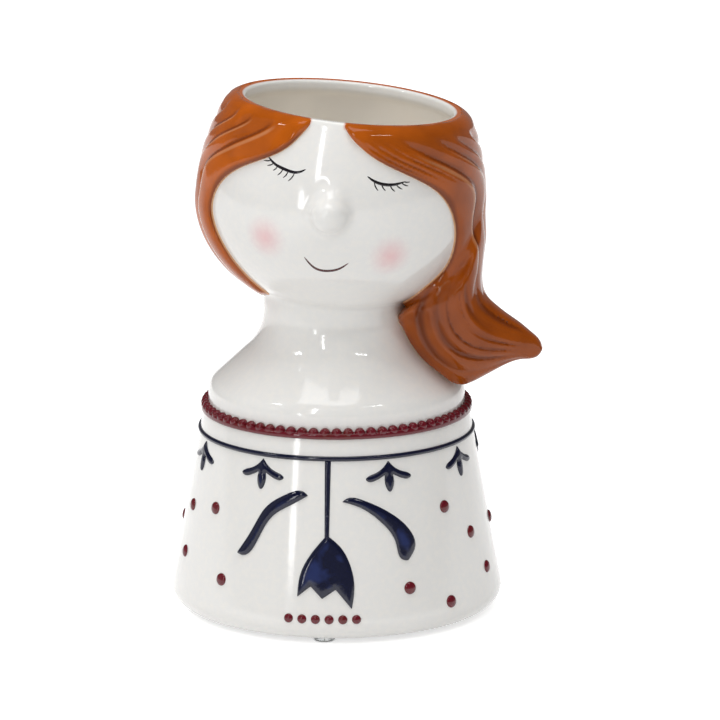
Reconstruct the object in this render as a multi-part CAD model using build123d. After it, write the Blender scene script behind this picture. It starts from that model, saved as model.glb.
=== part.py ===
from build123d import *
import math
import os

# Head planter: a slip-cast bust whose open head takes the plant, with hair and dress relief laid on.
# Millimetres and degrees. Origin on the dress's axis on the table, front towards -Y, +Z up.

# Soft feet, one at the front and two behind
FOOT_PLACES = ("front", "rear_right", "rear_left")
FOOT_HEIGHT = 2.0
FOOT_RADIUS = 4.6
FOOT_EDGE = 1.2
FOOT_INSET = 0.4

# Dress, a cone that narrows towards the neckline
BASE_RADIUS = 70.2
BASE_EDGE = 7.0
NECKLINE_RADIUS = 55.2
NECKLINE_HEIGHT = 84.5
NECKLINE_LEDGE = 1.9
RECESS_DEPTH = 1.2
FOOT_RING_WIDTH = 11.0
WALL = 4.2
FLOOR = 5.0

# Shoulders and neck, rising from the neckline
SHOULDER_RISE = 10.8
SHOULDER_ROUND = 8.0
NECK_RADIUS = 30.1
NECK_RISE = 32.2
NECK_SWEEP = 22.0
NECK_REACH = 12.0

# Head, an egg on an axis that leans towards +X
HEAD_LEAN = 5.5
HEAD_SHIFT = -2.2
PIVOT_RISE = 47.5
EQUATOR_HEIGHT = 39.3
HEAD_RADIUS = 56.8
CROWN_RISE = 73.0
JAW_DROP = 44.9
RIM_RISE = 42.0
LIP = 3.5
LIP_BAND = 3.6
LIP_ROUND = 1.2

# Nose, a teardrop that lies on the face
NOSE_RADIUS = 7.3
NOSE_TIP_RADIUS = 2.0
NOSE_LENGTH = 19.5
NOSE_RISE = 6.5
NOSE_PROUD = 9.0
NOSE_LEAN = 16.0

# Hair over the head, thinner at the crown and the jaw
HAIR_THICKNESS = 3.4
HAIR_CROWN = 1.0
HAIR_JAW = 1.6
HAIR_RIM_ROUND = 2.2
PARTING_WIDTH = 11.0
PARTING_SHIFT = -5.0

# Hairline: out from the parting's edge and up from the equator, from the rim down to the jaw
HAIRLINE_LEFT = [
    (9.5, 29.7), (25.0, 19.9), (36.0, 9.5), (39.3, -2.4), (34.5, -14.5), (26.0, -25.0), (14.0, -36.0),
]
HAIRLINE_RIGHT = [
    (8.7, 33.3), (25.0, 24.7), (42.0, 14.7), (48.3, 2.2), (47.0, -10.0), (39.5, -25.0), (28.0, -36.0),
]

# Side hair, which falls straight from the head's side down to the flick
FALL_HEIGHT = 35.0
FALL_WIDTH = 74.0
FALL_DEPTH = 92.0
FALL_OUT = -6.0

# Flick: out from the neck, up from the pivot, back from the axis, width, depth and heading from down
FLICK = [
    (21.4, 8.0, -8.0, 19.0, 54.0, 0.0),
    (17.6, 1.0, -10.0, 29.6, 50.0, 6.0),
    (16.2, -5.5, -11.5, 38.0, 45.0, 14.0),
    (21.9, -15.0, -12.0, 42.0, 38.0, 32.0),
    (31.9, -22.2, -12.0, 38.0, 30.0, 50.0),
    (42.7, -22.2, -11.0, 24.6, 22.0, 56.0),
    (50.8, -22.2, -10.5, 12.8, 13.0, 53.0),
    (55.9, -22.7, -10.0, 4.0, 5.0, 70.0),
]

# Relief on the dress, drawn for a set height from the foot up to the stripe
RELIEF = 1.2
DRAWN_HEIGHT = 74.0
BEAD_COUNT = 72
BEAD_RADIUS = 2.2
BEAD_RISE = 1.6
STRIP_HEIGHT = 1.6
STRIPE_DROP = 8.5
STRIPE_RADIUS = 1.0
STEM_WIDTH = 2.6
STEM_LENGTH = 30.5
STEM_SHIFT = 1.4
BLOSSOM_COUNT = 9
BLOSSOM_FIRST = 26.5
DOT_RADIUS = 2.2
DOT_PROUD = 1.0
HEM_DOT_COUNT = 6
HEM_DOT_RADIUS = 1.9
HEM_DOT_PITCH = 5.6
HEM_DOT_HEIGHT = 11.5

# Tulip, leaf and blossom outlines: across from the middle line and down from the stripe
TULIP_LEFT = [(-5.8, -39.4), (-9.4, -46.9), (-10.5, -55.8)]
TULIP_TEETH = [(-5.0, -51.4), (-0.2, -56.3), (5.3, -52.5)]
TULIP_RIGHT = [(12.0, -60.4), (12.9, -51.3), (11.2, -42.9), (7.2, -35.5)]
LEAF_LEFT_TOP = [
    (-6.5, -15.0), (-8.2, -13.5), (-15.7, -15.0), (-24.4, -21.3), (-29.6, -30.0), (-36.5, -41.2),
]
LEAF_LEFT_BELOW = [(-34.6, -41.8), (-26.7, -33.3), (-20.0, -23.3), (-13.5, -19.2), (-6.5, -15.0)]
LEAF_RIGHT_TOP = [
    (7.4, -17.2), (9.4, -15.8), (15.8, -16.7), (27.1, -22.9), (35.0, -31.2), (36.8, -37.0), (34.2, -42.5),
]
LEAF_RIGHT_BELOW = [(32.0, -42.0), (29.2, -35.4), (23.2, -26.2), (15.2, -20.0), (7.4, -17.2)]
PETAL_SIDE = [
    (-2.4, -2.6), (-6.0, -4.7), (-9.2, -6.0), (-10.0, -6.9), (-9.0, -7.9), (-6.6, -7.9), (-1.7, -5.6),
]
PETAL_MIDDLE = [(-2.0, -9.0), (0.0, -12.6), (2.0, -9.0)]
BLOSSOM_DROP = 1.6

# Scattered dots: angle from the front and height on the dress
DOT_SPOTS = [
    (-68, 46.8), (-49, 50.0), (-68, 27.2), (-40.5, 22.5), (31.7, 22.4), (48.6, 13.8), (51.2, 52.2),
    (65.3, 38.6), (73.8, 21.7), (91, 38.1), (-92, 36.0), (-104, 55.0), (-112, 20.0), (110, 54.0),
    (118, 22.0), (134, 42.0), (-128, 40.0), (-148, 54.0), (-152, 24.0), (152, 20.0), (164, 52.0),
    (176, 34.0),
]

# Sizes that follow from these
STRIPE_HEIGHT = NECKLINE_HEIGHT - STRIPE_DROP
SHOULDER_HEIGHT = NECKLINE_HEIGHT + SHOULDER_RISE
NECK_HEIGHT = NECKLINE_HEIGHT + NECK_RISE
PIVOT_HEIGHT = NECKLINE_HEIGHT + PIVOT_RISE
TAPER = (BASE_RADIUS - NECKLINE_RADIUS) / (NECKLINE_HEIGHT - FOOT_HEIGHT)
FLANK_ANGLE = math.degrees(math.atan(TAPER))
RELIEF_FIT = (STRIPE_HEIGHT - FOOT_HEIGHT) / DRAWN_HEIGHT
SKIN_RADIUS = NECKLINE_RADIUS - NECKLINE_LEDGE
SLOPE_TURN = math.atan2(SKIN_RADIUS - NECK_RADIUS, NECK_HEIGHT - SHOULDER_HEIGHT)
HEAD_FRAME = Location((HEAD_SHIFT, 0, PIVOT_HEIGHT), (0, HEAD_LEAN, 0)) * Pos(0, 0, EQUATOR_HEIGHT)
RIM_RADIUS = HEAD_RADIUS * math.sqrt(1 - (RIM_RISE / CROWN_RISE) ** 2)
MOUTH_RADIUS = RIM_RADIUS - LIP
BEAD_RING = (SKIN_RADIUS + NECKLINE_RADIUS) / 2
FOOT_RING = BASE_RADIUS - BASE_EDGE - FOOT_RADIUS - FOOT_INSET
FAR = BASE_RADIUS * 2
RIGHT_ANGLE = 90
FULL_TURN = 360
UPWARD = (Align.CENTER, Align.CENTER, Align.MIN)
FORWARD = (0, -1, 0)


def flank(height):
    """Radius of the dress at a height."""
    return BASE_RADIUS - TAPER * (height - FOOT_HEIGHT)


def revolved(*edges):
    """Solid of revolution about Z from a closed half section drawn in the XZ plane."""
    return revolve(Plane.XZ * make_face(edges), Axis.Z)


def egg_curve(radius, rise, sweep):
    """Part of an ellipse from its side towards its pole, swept by an angle of its own circle."""
    pull = 4 / 3 * math.tan(sweep / 4)
    end = (radius * math.cos(sweep), rise * math.sin(sweep))
    return Bezier(
        (radius, 0),
        (radius, rise * pull),
        (end[0] + radius * pull * math.sin(sweep), end[1] - rise * pull * math.cos(sweep)),
        end,
    )


def egg(radius, rise, drop, top):
    """Egg on the Z axis with its equator at zero, cut flat at top."""
    above = egg_curve(radius, rise, math.asin(top / rise))
    below = egg_curve(radius, -drop, math.pi / 2)
    lid = Polyline(above @ 1, (0, top), below @ 1)
    return revolved(below, above, lid)


def round_corner(face, corner, radius):
    """Face with the vertex nearest to corner rounded."""
    vertex = face.vertices().sort_by_distance(Vector(corner[0], corner[1]))[0]
    return fillet(vertex, radius)


def dress_and_neck(inset, floor):
    """Dress, shoulders and a neck that reaches into the head, drawn in by inset above a floor."""
    shift = inset * math.tan(SLOPE_TURN / 2)
    lean = inset / math.cos(math.radians(FLANK_ANGLE))
    base = (flank(floor) - lean, floor)
    top = (NECKLINE_RADIUS - lean, NECKLINE_HEIGHT)
    shoulder = (SKIN_RADIUS - inset, SHOULDER_HEIGHT - shift)
    neck = (NECK_RADIUS - inset, NECK_HEIGHT - shift)
    neck_top = (NECK_RADIUS - inset, PIVOT_HEIGHT + NECK_REACH)
    ledge = (SKIN_RADIUS - inset, NECKLINE_HEIGHT)
    axis_top = (0, PIVOT_HEIGHT + NECK_REACH)
    corners = [(0, floor), base, top, ledge, shoulder, neck, neck_top, axis_top]
    outline = make_face(Polyline(*corners, close=True))
    outline = round_corner(outline, base, BASE_EDGE)
    outline = round_corner(outline, shoulder, SHOULDER_ROUND - inset)
    outline = round_corner(outline, neck, NECK_SWEEP + inset)
    return revolve(Plane.XZ * outline, Axis.Z)


def nose_teardrop():
    """Teardrop with its ball at the origin and its thin end up."""
    spread = math.asin((NOSE_RADIUS - NOSE_TIP_RADIUS) / NOSE_LENGTH)
    wide = (NOSE_RADIUS * math.cos(spread), NOSE_RADIUS * math.sin(spread))
    thin = (NOSE_TIP_RADIUS * math.cos(spread), NOSE_LENGTH + NOSE_TIP_RADIUS * math.sin(spread))
    ball = RadiusArc((0, -NOSE_RADIUS), wide, -NOSE_RADIUS)
    bridge = Line(wide, thin)
    tip = RadiusArc(thin, (0, NOSE_LENGTH + NOSE_TIP_RADIUS), -NOSE_TIP_RADIUS)
    axis = Line(tip @ 1, ball @ 0)
    return revolved(ball, bridge, tip, axis)


def bust_outside():
    """The casting's outer form, filled, without the nose."""
    head = HEAD_FRAME * egg(HEAD_RADIUS, CROWN_RISE, JAW_DROP, RIM_RISE)
    return dress_and_neck(0, FOOT_HEIGHT) + head


def bust_inside():
    """The space inside: dress, neck, head bowl and the straight band under the rim."""
    bowl = egg(HEAD_RADIUS - WALL, CROWN_RISE - WALL, JAW_DROP - WALL, RIM_RISE - LIP)
    mouth = Pos(0, 0, RIM_RISE - LIP_BAND) * Cylinder(MOUTH_RADIUS, LIP_BAND * 2, align=UPWARD)
    flare = Pos(0, 0, RIM_RISE) * Torus(MOUTH_RADIUS + LIP_ROUND, LIP_ROUND)
    corner = Pos(0, 0, RIM_RISE - LIP_ROUND) * Cylinder(MOUTH_RADIUS + LIP_ROUND, LIP_BAND, align=UPWARD)
    rounding = corner - Pos(0, 0, -LIP_ROUND) * flare
    return dress_and_neck(WALL, FOOT_HEIGHT + FLOOR) + HEAD_FRAME * (bowl + mouth + rounding)


def bust_casting(outside):
    """The hollow casting with its nose, rounded lip and recessed underside."""
    face_depth = HEAD_RADIUS + NOSE_PROUD - NOSE_RADIUS
    nose = Pos(0, -face_depth, NOSE_RISE) * Rot(-NOSE_LEAN, 0, 0) * nose_teardrop()
    casting = outside + HEAD_FRAME * nose - bust_inside()
    recess_radius = BASE_RADIUS - BASE_EDGE - FOOT_RING_WIDTH
    return casting - Pos(0, 0, FOOT_HEIGHT) * Cylinder(recess_radius, RECESS_DEPTH, align=UPWARD)


def face_opening():
    """The space in front of the face, between the two hairlines and up through the parting."""
    left_edge = PARTING_SHIFT - PARTING_WIDTH / 2
    right_edge = PARTING_SHIFT + PARTING_WIDTH / 2
    left = Spline([(left_edge, RIM_RISE)] + [(left_edge - out, up) for out, up in HAIRLINE_LEFT])
    right = Spline([(right_edge, RIM_RISE)] + [(right_edge + out, up) for out, up in HAIRLINE_RIGHT])
    above = Polyline(left @ 0, (left_edge, RIM_RISE * 2), (right_edge, RIM_RISE * 2), right @ 0)
    below = Polyline(left @ 1, ((left @ 1).X, -JAW_DROP * 2), ((right @ 1).X, -JAW_DROP * 2), right @ 1)
    return HEAD_FRAME * extrude(Plane.XZ * make_face([left, above, right, below]), FAR, dir=FORWARD)


def hair_cap():
    """Egg of hair round the head, rounded at the rim."""
    cap = egg(HEAD_RADIUS + HAIR_THICKNESS, CROWN_RISE + HAIR_CROWN, JAW_DROP + HAIR_JAW, RIM_RISE)
    rim = cap.edges().group_by(Axis.Z)[-1]
    return HEAD_FRAME * fillet(rim, HAIR_RIM_ROUND)


def lock_section(out, up, back, width, depth, heading):
    """Oval across a lock of hair, on a plane that faces along its heading."""
    turn = math.radians(heading)
    across = (math.cos(turn), 0, math.sin(turn))
    ahead = (math.sin(turn), 0, -math.cos(turn))
    plane = Plane(origin=(NECK_RADIUS + out, back, PIVOT_HEIGHT + up), x_dir=across, z_dir=ahead)
    return plane * Ellipse(width / 2, depth / 2)


def hair(outside):
    """Hair with its face opening, the straight fall at the side and the flick over the shoulder."""
    flick = [lock_section(*station) for station in FLICK]
    fall = loft([lock_section(FALL_OUT, FALL_HEIGHT, 0, FALL_WIDTH, FALL_DEPTH, 0), flick[0]])
    head_hair = hair_cap() - face_opening() - outside
    side_hair = fall - face_opening() - outside
    return head_hair + side_hair + (loft(flick) - outside)


def relief_coat():
    """Skin of relief thickness all round the dress."""
    low = FOOT_HEIGHT + BASE_EDGE
    high = NECKLINE_HEIGHT
    inner = [(flank(low), low), (flank(high), high)]
    outer = [(flank(high) + RELIEF, high), (flank(low) + RELIEF, low)]
    return revolved(Polyline(*inner, *outer, close=True))


def fitted(points):
    """Drawn points with their drop from the stripe fitted to the dress."""
    return [(across, drop * RELIEF_FIT) for across, drop in points]


def raised(coat, outline):
    """Relief patch with an outline drawn from the front, its zero at the stripe."""
    return coat & extrude(Plane.XZ * Pos(0, STRIPE_HEIGHT) * outline, FAR, dir=FORWARD)


def bead_trim(outside):
    """Beads on a strip that lies on the neckline's ledge."""
    ring = Circle(NECKLINE_RADIUS) - Circle(SKIN_RADIUS)
    strip = Pos(0, 0, NECKLINE_HEIGHT) * extrude(ring, STRIP_HEIGHT)
    bead = Pos(0, -BEAD_RING, NECKLINE_HEIGHT + BEAD_RISE) * Sphere(BEAD_RADIUS) - outside
    return strip + PolarLocations(0, BEAD_COUNT) * bead


def neckline_stripe(outside):
    """Half-round line of glaze round the dress."""
    return Pos(0, 0, STRIPE_HEIGHT) * Torus(flank(STRIPE_HEIGHT), STRIPE_RADIUS) - outside


def tulip_outline():
    """Hanging flower with three pointed petals."""
    top = (STEM_SHIFT, -STEM_LENGTH)
    left = Spline(fitted([top] + TULIP_LEFT))
    right = Spline(fitted(TULIP_RIGHT + [top]))
    teeth = Polyline([left @ 1] + fitted(TULIP_TEETH) + [right @ 0])
    return make_face([left, teeth, right])


def leaf_outline(over, under):
    """Leaf between its upper and its lower edge."""
    upper = Spline(fitted(over))
    lower = Spline([upper @ 1] + fitted(under))
    return make_face([upper, lower])


def blossom_outline():
    """Three lobes that hang from one point."""
    left = Spline([(0, 0)] + PETAL_SIDE)
    right = mirror(left, Plane.YZ)
    middle = Spline([left @ 1] + PETAL_MIDDLE + [right @ 1])
    return make_face([left, middle, right])


def dots(spots, radius):
    """Low caps of glaze with their bases on the dress, at angles from the front and heights."""
    ball = (radius ** 2 + DOT_PROUD ** 2) / (2 * DOT_PROUD)
    dome = RadiusArc((radius, 0), (0, DOT_PROUD), -ball)
    cap = revolved(dome, Polyline((0, DOT_PROUD), (0, 0), (radius, 0)))
    caps = []
    for angle, drawn in spots:
        height = FOOT_HEIGHT + (drawn - FOOT_HEIGHT) * RELIEF_FIT
        seat = Pos(0, -flank(height), height) * Rot(RIGHT_ANGLE - FLANK_ANGLE, 0, 0)
        caps.append(Rot(0, 0, angle) * seat * cap)
    return Compound(children=caps)


def foot():
    """Soft stick-on foot, rounded where it meets the table."""
    pad = Cylinder(FOOT_RADIUS, FOOT_HEIGHT, align=UPWARD)
    return fillet(pad.edges().group_by(Axis.Z)[0], FOOT_EDGE)


def build_parts():
    """All nodes by name."""
    outside = bust_outside()
    coat = relief_coat()
    nodes = {}
    nodes["bust_casting"] = bust_casting(outside)
    nodes["hair"] = hair(outside)
    nodes["bead_trim"] = bead_trim(outside)
    nodes["neckline_stripe"] = neckline_stripe(outside)
    nodes["tulip_head"] = raised(coat, tulip_outline())
    stem = Rectangle(STEM_WIDTH, STEM_LENGTH * RELIEF_FIT, align=(Align.CENTER, Align.MAX))
    nodes["tulip_stem"] = raised(coat, Pos(STEM_SHIFT, -STRIPE_RADIUS) * stem) - nodes["tulip_head"]
    nodes["leaf_left"] = raised(coat, leaf_outline(LEAF_LEFT_TOP, LEAF_LEFT_BELOW))
    nodes["leaf_right"] = raised(coat, leaf_outline(LEAF_RIGHT_TOP, LEAF_RIGHT_BELOW))
    blossom = raised(coat, Pos(0, -BLOSSOM_DROP) * blossom_outline())
    step = (FULL_TURN - BLOSSOM_FIRST * 2) / (BLOSSOM_COUNT - 1)
    for number in range(BLOSSOM_COUNT):
        nodes[f"blossom_{number + 1}"] = Rot(0, 0, BLOSSOM_FIRST + step * number) * blossom
    nodes["scatter_dots"] = dots(DOT_SPOTS, DOT_RADIUS)
    first = -HEM_DOT_PITCH * (HEM_DOT_COUNT - 1) / 2
    hem_angle = math.degrees(1 / flank(HEM_DOT_HEIGHT))
    hem_places = [first + HEM_DOT_PITCH * number for number in range(HEM_DOT_COUNT)]
    hem = [(place * hem_angle, HEM_DOT_HEIGHT) for place in hem_places]
    nodes["hem_dots"] = dots(hem, HEM_DOT_RADIUS)
    for number, place in enumerate(FOOT_PLACES):
        turn = Rot(0, 0, FULL_TURN / len(FOOT_PLACES) * number)
        nodes[f"bumper_{place}"] = turn * Pos(0, -FOOT_RING, 0) * foot()
    return nodes


os.makedirs("parts", exist_ok=True)
for name, solid in build_parts().items():
    export_step(solid, f"parts/{name}.step")
    print(name, len(solid.solids()), round(solid.volume, 1))
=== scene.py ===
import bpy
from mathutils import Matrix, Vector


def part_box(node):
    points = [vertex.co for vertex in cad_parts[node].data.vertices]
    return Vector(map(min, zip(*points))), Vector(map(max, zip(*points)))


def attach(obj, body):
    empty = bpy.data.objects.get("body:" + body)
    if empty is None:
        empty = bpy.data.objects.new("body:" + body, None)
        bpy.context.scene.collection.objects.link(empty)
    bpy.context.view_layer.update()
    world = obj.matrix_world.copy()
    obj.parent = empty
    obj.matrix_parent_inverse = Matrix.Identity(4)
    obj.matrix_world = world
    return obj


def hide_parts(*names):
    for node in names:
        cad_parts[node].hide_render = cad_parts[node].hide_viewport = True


bl_info = {
    "name": "Head Planter",
    "version": (1, 0, 0),
    "blender": (4, 5, 0),
    "location": "View3D > Sidebar > Planter",
    "description": "Glazed bust planter with hair, a painted face and relief on its dress",
    "category": "Object",
}

import math
from types import SimpleNamespace

import bpy
import numpy as np
from mathutils import Vector
from mathutils.geometry import delaunay_2d_cdt

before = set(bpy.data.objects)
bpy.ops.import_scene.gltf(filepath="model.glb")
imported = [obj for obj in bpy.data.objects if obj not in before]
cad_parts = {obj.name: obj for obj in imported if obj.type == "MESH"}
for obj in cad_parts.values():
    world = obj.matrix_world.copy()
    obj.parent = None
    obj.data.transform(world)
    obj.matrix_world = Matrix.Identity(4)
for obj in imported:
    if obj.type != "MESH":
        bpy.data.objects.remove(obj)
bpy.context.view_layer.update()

MM = 0.001
FULL_TURN = 2 * math.pi
BODY = "root"

# Hairlines, eyes and mouth: across the face and up from the head's equator, in millimetres
HAIRLINE_LEFT = [
    (-10.5, 42.0), (-20.0, 29.7), (-35.5, 19.9), (-46.5, 9.5),
    (-49.8, -2.4), (-45.0, -14.5), (-36.5, -25.0), (-24.5, -36.0),
]
HAIRLINE_RIGHT = [
    (0.5, 42.0), (9.2, 33.3), (25.5, 24.7), (42.5, 14.7), (48.8, 2.2),
    (49.2, -9.0), (46.3, -18.0), (40.3, -25.5), (33.6, -33.0), (28.7, -38.0),
]
EYE_LEFT = [(-27.8, 25.1), (-24.5, 22.7), (-20.9, 21.6), (-17.5, 21.0), (-14.6, 21.2), (-11.5, 22.9)]
EYE_RIGHT = [(13.4, 22.7), (15.8, 21.2), (18.7, 20.1), (21.5, 19.7), (25.0, 20.0), (28.6, 21.1)]
# Lashes, each from its root to its tip
LASHES_LEFT = [
    ((-25.9, 24.0), (-29.5, 23.1)), ((-24.8, 23.1), (-27.7, 21.4)), ((-23.2, 22.1), (-25.0, 20.0)),
    ((-20.9, 21.4), (-22.9, 18.6)), ((-18.6, 21.0), (-20.5, 18.0)), ((-15.9, 20.9), (-18.3, 17.1)),
]
LASHES_RIGHT = [
    ((16.3, 20.8), (18.3, 17.2)), ((19.3, 20.0), (21.2, 17.3)), ((22.6, 19.8), (24.9, 17.1)),
    ((25.0, 20.0), (27.7, 18.0)), ((27.0, 20.6), (29.8, 19.3)), ((27.6, 21.0), (30.3, 20.9)),
]
SMILE = [(-8.8, -12.8), (-6.6, -15.3), (-3.8, -17.4), (1.2, -17.9), (6.0, -16.2), (9.3, -13.4)]
BLUSH_SPOTS = [(-25.7, -7.6), (25.7, -9.8)]

# Flick of hair seen from the front: across and up from the table, each edge from the tip to the head
FLICK_UPPER = [
    (86.1, 113.0), (85.0, 116.0), (81.5, 119.7), (77.1, 123.6), (71.8, 127.4), (66.8, 131.4),
    (63.1, 135.4), (61.4, 140.0), (60.9, 146.0), (60.7, 156.0), (60.9, 178.0),
]
FLICK_LOWER = [
    (86.1, 113.0), (84.6, 110.2), (81.4, 108.8), (77.5, 108.5), (73.0, 107.0), (67.8, 104.2),
    (62.5, 101.2), (57.1, 98.4), (53.0, 97.4), (49.6, 98.0), (43.8, 101.8), (36.6, 107.2),
    (32.3, 112.0), (29.4, 116.6), (28.2, 120.4), (27.9, 124.5), (28.0, 129.0), (29.6, 133.6),
    (34.6, 140.0), (41.0, 146.8), (45.5, 153.0), (48.5, 161.0), (48.0, 178.0),
]
# Heights between which the flick's lower and upper edges end in the head, and how far they are pushed in
FLICK_END_LOWER = (126.0, 154.0)
FLICK_END_UPPER = (156.0, 182.0)
FLICK_PUSH = 14.0
# By distance from the flick's tip: half its depth and its middle from front to back, and its join's scale
FLICK_REACH = [0.0, 7.0, 15.0, 26.0, 38.0, 45.0, 55.0, 65.0, 90.0]
FLICK_DEPTH = [3.0, 7.0, 11.0, 15.0, 18.5, 19.5, 18.0, 15.5, 10.0]
FLICK_MIDDLE = [-10.0, -10.5, -11.0, -12.0, -11.5, -10.2, -7.4, -4.6, -1.0]
FLICK_BLEND = [2.0, 4.2, 7.5, 11.4, 13.3, 13.5, 13.8, 14.0, 14.0]

# Where the locks part on each side, from the face at 0 round to the back at 1
LOCKS_LEFT = [0.0, 0.11, 0.19, 0.265, 0.36, 0.46, 0.57, 0.68, 0.79, 0.9, 1.0]
LOCKS_RIGHT = [0.0, 0.138, 0.25, 0.325, 0.42, 0.51, 0.61, 0.71, 0.81, 0.91, 1.0]
# Finer locks near the parting and on the flick, and where the first of them part across the flick
LOCKS_FINE = [0.0, 0.024, 0.046, 0.078, 0.108, *LOCKS_RIGHT[1:]]
FLICK_LOCKS = [0.0, 0.14, 0.28, 0.42, 0.56, 0.7, 0.9, 1.0]
# Place of the crest across a lock and across a fine lock
CREST = 0.8
FINE_CREST = 0.68

# Relief outlines: across from the dress's middle line and down from the stripe
TULIP_LEFT = [(-5.8, -39.4), (-9.4, -46.9), (-10.5, -55.8)]
TULIP_TEETH = [(-5.0, -51.4), (-0.2, -56.3), (5.3, -52.5)]
TULIP_RIGHT = [(12.0, -60.4), (12.9, -51.3), (11.2, -42.9), (7.2, -35.5)]
LEAVES = {
    "leaf_left": (
        [(-6.5, -15.0), (-8.2, -13.5), (-15.7, -15.0), (-24.4, -21.3), (-29.6, -30.0), (-36.5, -41.2)],
        [(-34.6, -41.8), (-26.7, -33.3), (-20.0, -23.3), (-13.5, -19.2), (-6.5, -15.0)],
    ),
    "leaf_right": (
        [
            (7.4, -17.2), (9.4, -15.8), (15.8, -16.7), (27.1, -22.9), (35.0, -31.2), (36.8, -37.0),
            (34.2, -42.5),
        ],
        [(32.0, -42.0), (29.2, -35.4), (23.2, -26.2), (15.2, -20.0), (7.4, -17.2)],
    ),
}
# Blossom outline: across and down from its top
PETAL_SIDE = [
    (0.0, 0.0), (-2.4, -2.6), (-6.0, -4.7), (-9.2, -6.0),
    (-10.0, -6.9), (-9.0, -7.9), (-6.6, -7.9), (-1.7, -5.6),
]
PETAL_MIDDLE = [(-2.0, -9.0), (0.0, -12.6), (2.0, -9.0)]
# Loose dots: turn from the front in degrees and height above the table
DOT_SPOTS = [
    (-68, 46.8), (-49, 50.0), (-68, 27.2), (-40.5, 22.5), (31.7, 22.4), (48.6, 13.8), (51.2, 52.2),
    (65.3, 38.6), (73.8, 21.7), (91, 38.1), (-92, 36.0), (-104, 55.0), (-112, 20.0), (110, 54.0),
    (118, 22.0), (134, 42.0), (-128, 40.0), (-148, 54.0), (-152, 24.0), (152, 20.0), (164, 52.0),
    (176, 34.0),
]

# Lamps: turn from the front in degrees, height, distance, width and tallness in metres, and power
LAMPS = {
    "key_strip": (-16, 0.95, 1.6, 0.1, 0.9, 4.2),
    "low_window": (-28, 0.27, 1.6, 0.12, 0.26, 1.0),
    "soft_left": (-75, 1.0, 2.2, 2.0, 1.6, 2.4),
    "high_left": (-63, 1.65, 1.5, 0.3, 0.16, 3.8),
    "fill_right": (50, 1.85, 1.4, 0.6, 0.06, 3.0),
    "overhead": (-20, 1.7, 0.2, 0.9, 0.9, 7.2),
}
LAMP_AIM = Vector((0.0, 0.0, 0.12))
FLOOR_GREY = 0.9
FLOOR_GLOW = 0.6
WHITE = (1.0, 1.0, 1.0, 1.0)


# Properties

def length(name, millimetres, text):
    """Length property, written in millimetres and kept in metres."""
    return bpy.props.FloatProperty(
        name=name, description=text, default=millimetres * MM, unit="LENGTH", precision=4
    )


def angle(name, degrees, text):
    """Angle property, written in degrees."""
    return bpy.props.FloatProperty(
        name=name, description=text, default=math.radians(degrees), subtype="ANGLE", unit="ROTATION"
    )


def count(name, number, text):
    """Whole number property."""
    return bpy.props.IntProperty(name=name, description=text, default=number, min=1)


def tint(name, red, green, blue, text):
    """Colour property, written as the eye sees it from 0 to 255."""
    shares = [value / 255 for value in (red, green, blue)]
    linear = [share / 12.92 if share < 0.04045 else ((share + 0.055) / 1.055) ** 2.4 for share in shares]
    return bpy.props.FloatVectorProperty(
        name=name, description=text, default=(*linear, 1.0), size=4, subtype="COLOR", min=0.0, max=1.0
    )


class BustSizes(bpy.types.PropertyGroup):
    """Sizes of the white casting."""

    stand_height: length("Stand height", 2.0, "Gap that the bumpers leave under the dress")
    base_radius: length("Base radius", 70.2, "Radius of the dress at its foot")
    base_edge: length("Base edge", 7.0, "Rounding of the foot of the dress")
    foot_ring: length("Foot ring", 11.0, "Width of the ring that the dress stands on")
    recess: length("Recess", 1.2, "Depth of the recess under the dress")
    neckline_radius: length("Neckline radius", 55.2, "Radius of the dress at its neckline")
    neckline_height: length("Neckline height", 84.5, "Height of the neckline above the table")
    neckline_ledge: length("Neckline ledge", 1.9, "Step from the dress in to the skin")
    shoulder_rise: length("Shoulder rise", 10.8, "Height of the shoulder's corner above the neckline")
    shoulder_round: length("Shoulder rounding", 8.0, "Rounding of the shoulder")
    neck_radius: length("Neck radius", 30.1, "Radius of the neck")
    neck_rise: length("Neck rise", 32.2, "Height of the neck's lower corner above the neckline")
    neck_sweep: length("Neck sweep", 22.0, "Radius of the sweep from shoulder to neck")
    wall: length("Wall", 4.2, "Thickness of the casting")
    floor: length("Floor", 5.0, "Thickness of the floor")
    head_lean: angle("Head lean", 5.5, "Lean of the head towards the flick")
    head_shift: length("Head shift", -2.2, "Place of the head's pivot across the neck")
    pivot_rise: length("Pivot rise", 47.5, "Height of the head's pivot above the neckline")
    equator_rise: length("Equator rise", 39.3, "Widest height of the head above its pivot")
    head_radius: length("Head radius", 56.8, "Radius of the head at its equator")
    crown_rise: length("Crown rise", 73.0, "Height of the whole egg above the equator")
    jaw_drop: length("Jaw drop", 44.9, "Depth of the egg below the equator")
    rim_rise: length("Rim rise", 42.0, "Height of the rim above the equator")
    lip: length("Lip", 3.5, "Width of the rim")
    lip_band: length("Lip band", 3.6, "Height of the straight band under the rim")
    nose_radius: length("Nose radius", 7.3, "Radius of the nose's ball")
    nose_tip: length("Nose bridge", 3.0, "Radius of the upper end of the nose")
    nose_length: length("Nose length", 11.0, "Length of the nose from ball to bridge")
    nose_rise: length("Nose rise", 6.5, "Height of the ball above the equator")
    nose_proud: length("Nose proud", 9.0, "How far the ball stands out of the face")
    nose_lean: angle("Nose lean", 38.0, "Lean of the nose into the face")
    nose_blend: length("Nose blend", 5.0, "Softness of the join round the nose")
    jaw_blend: length("Jaw blend", 3.0, "Softness of the crease between jaw and neck")


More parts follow.
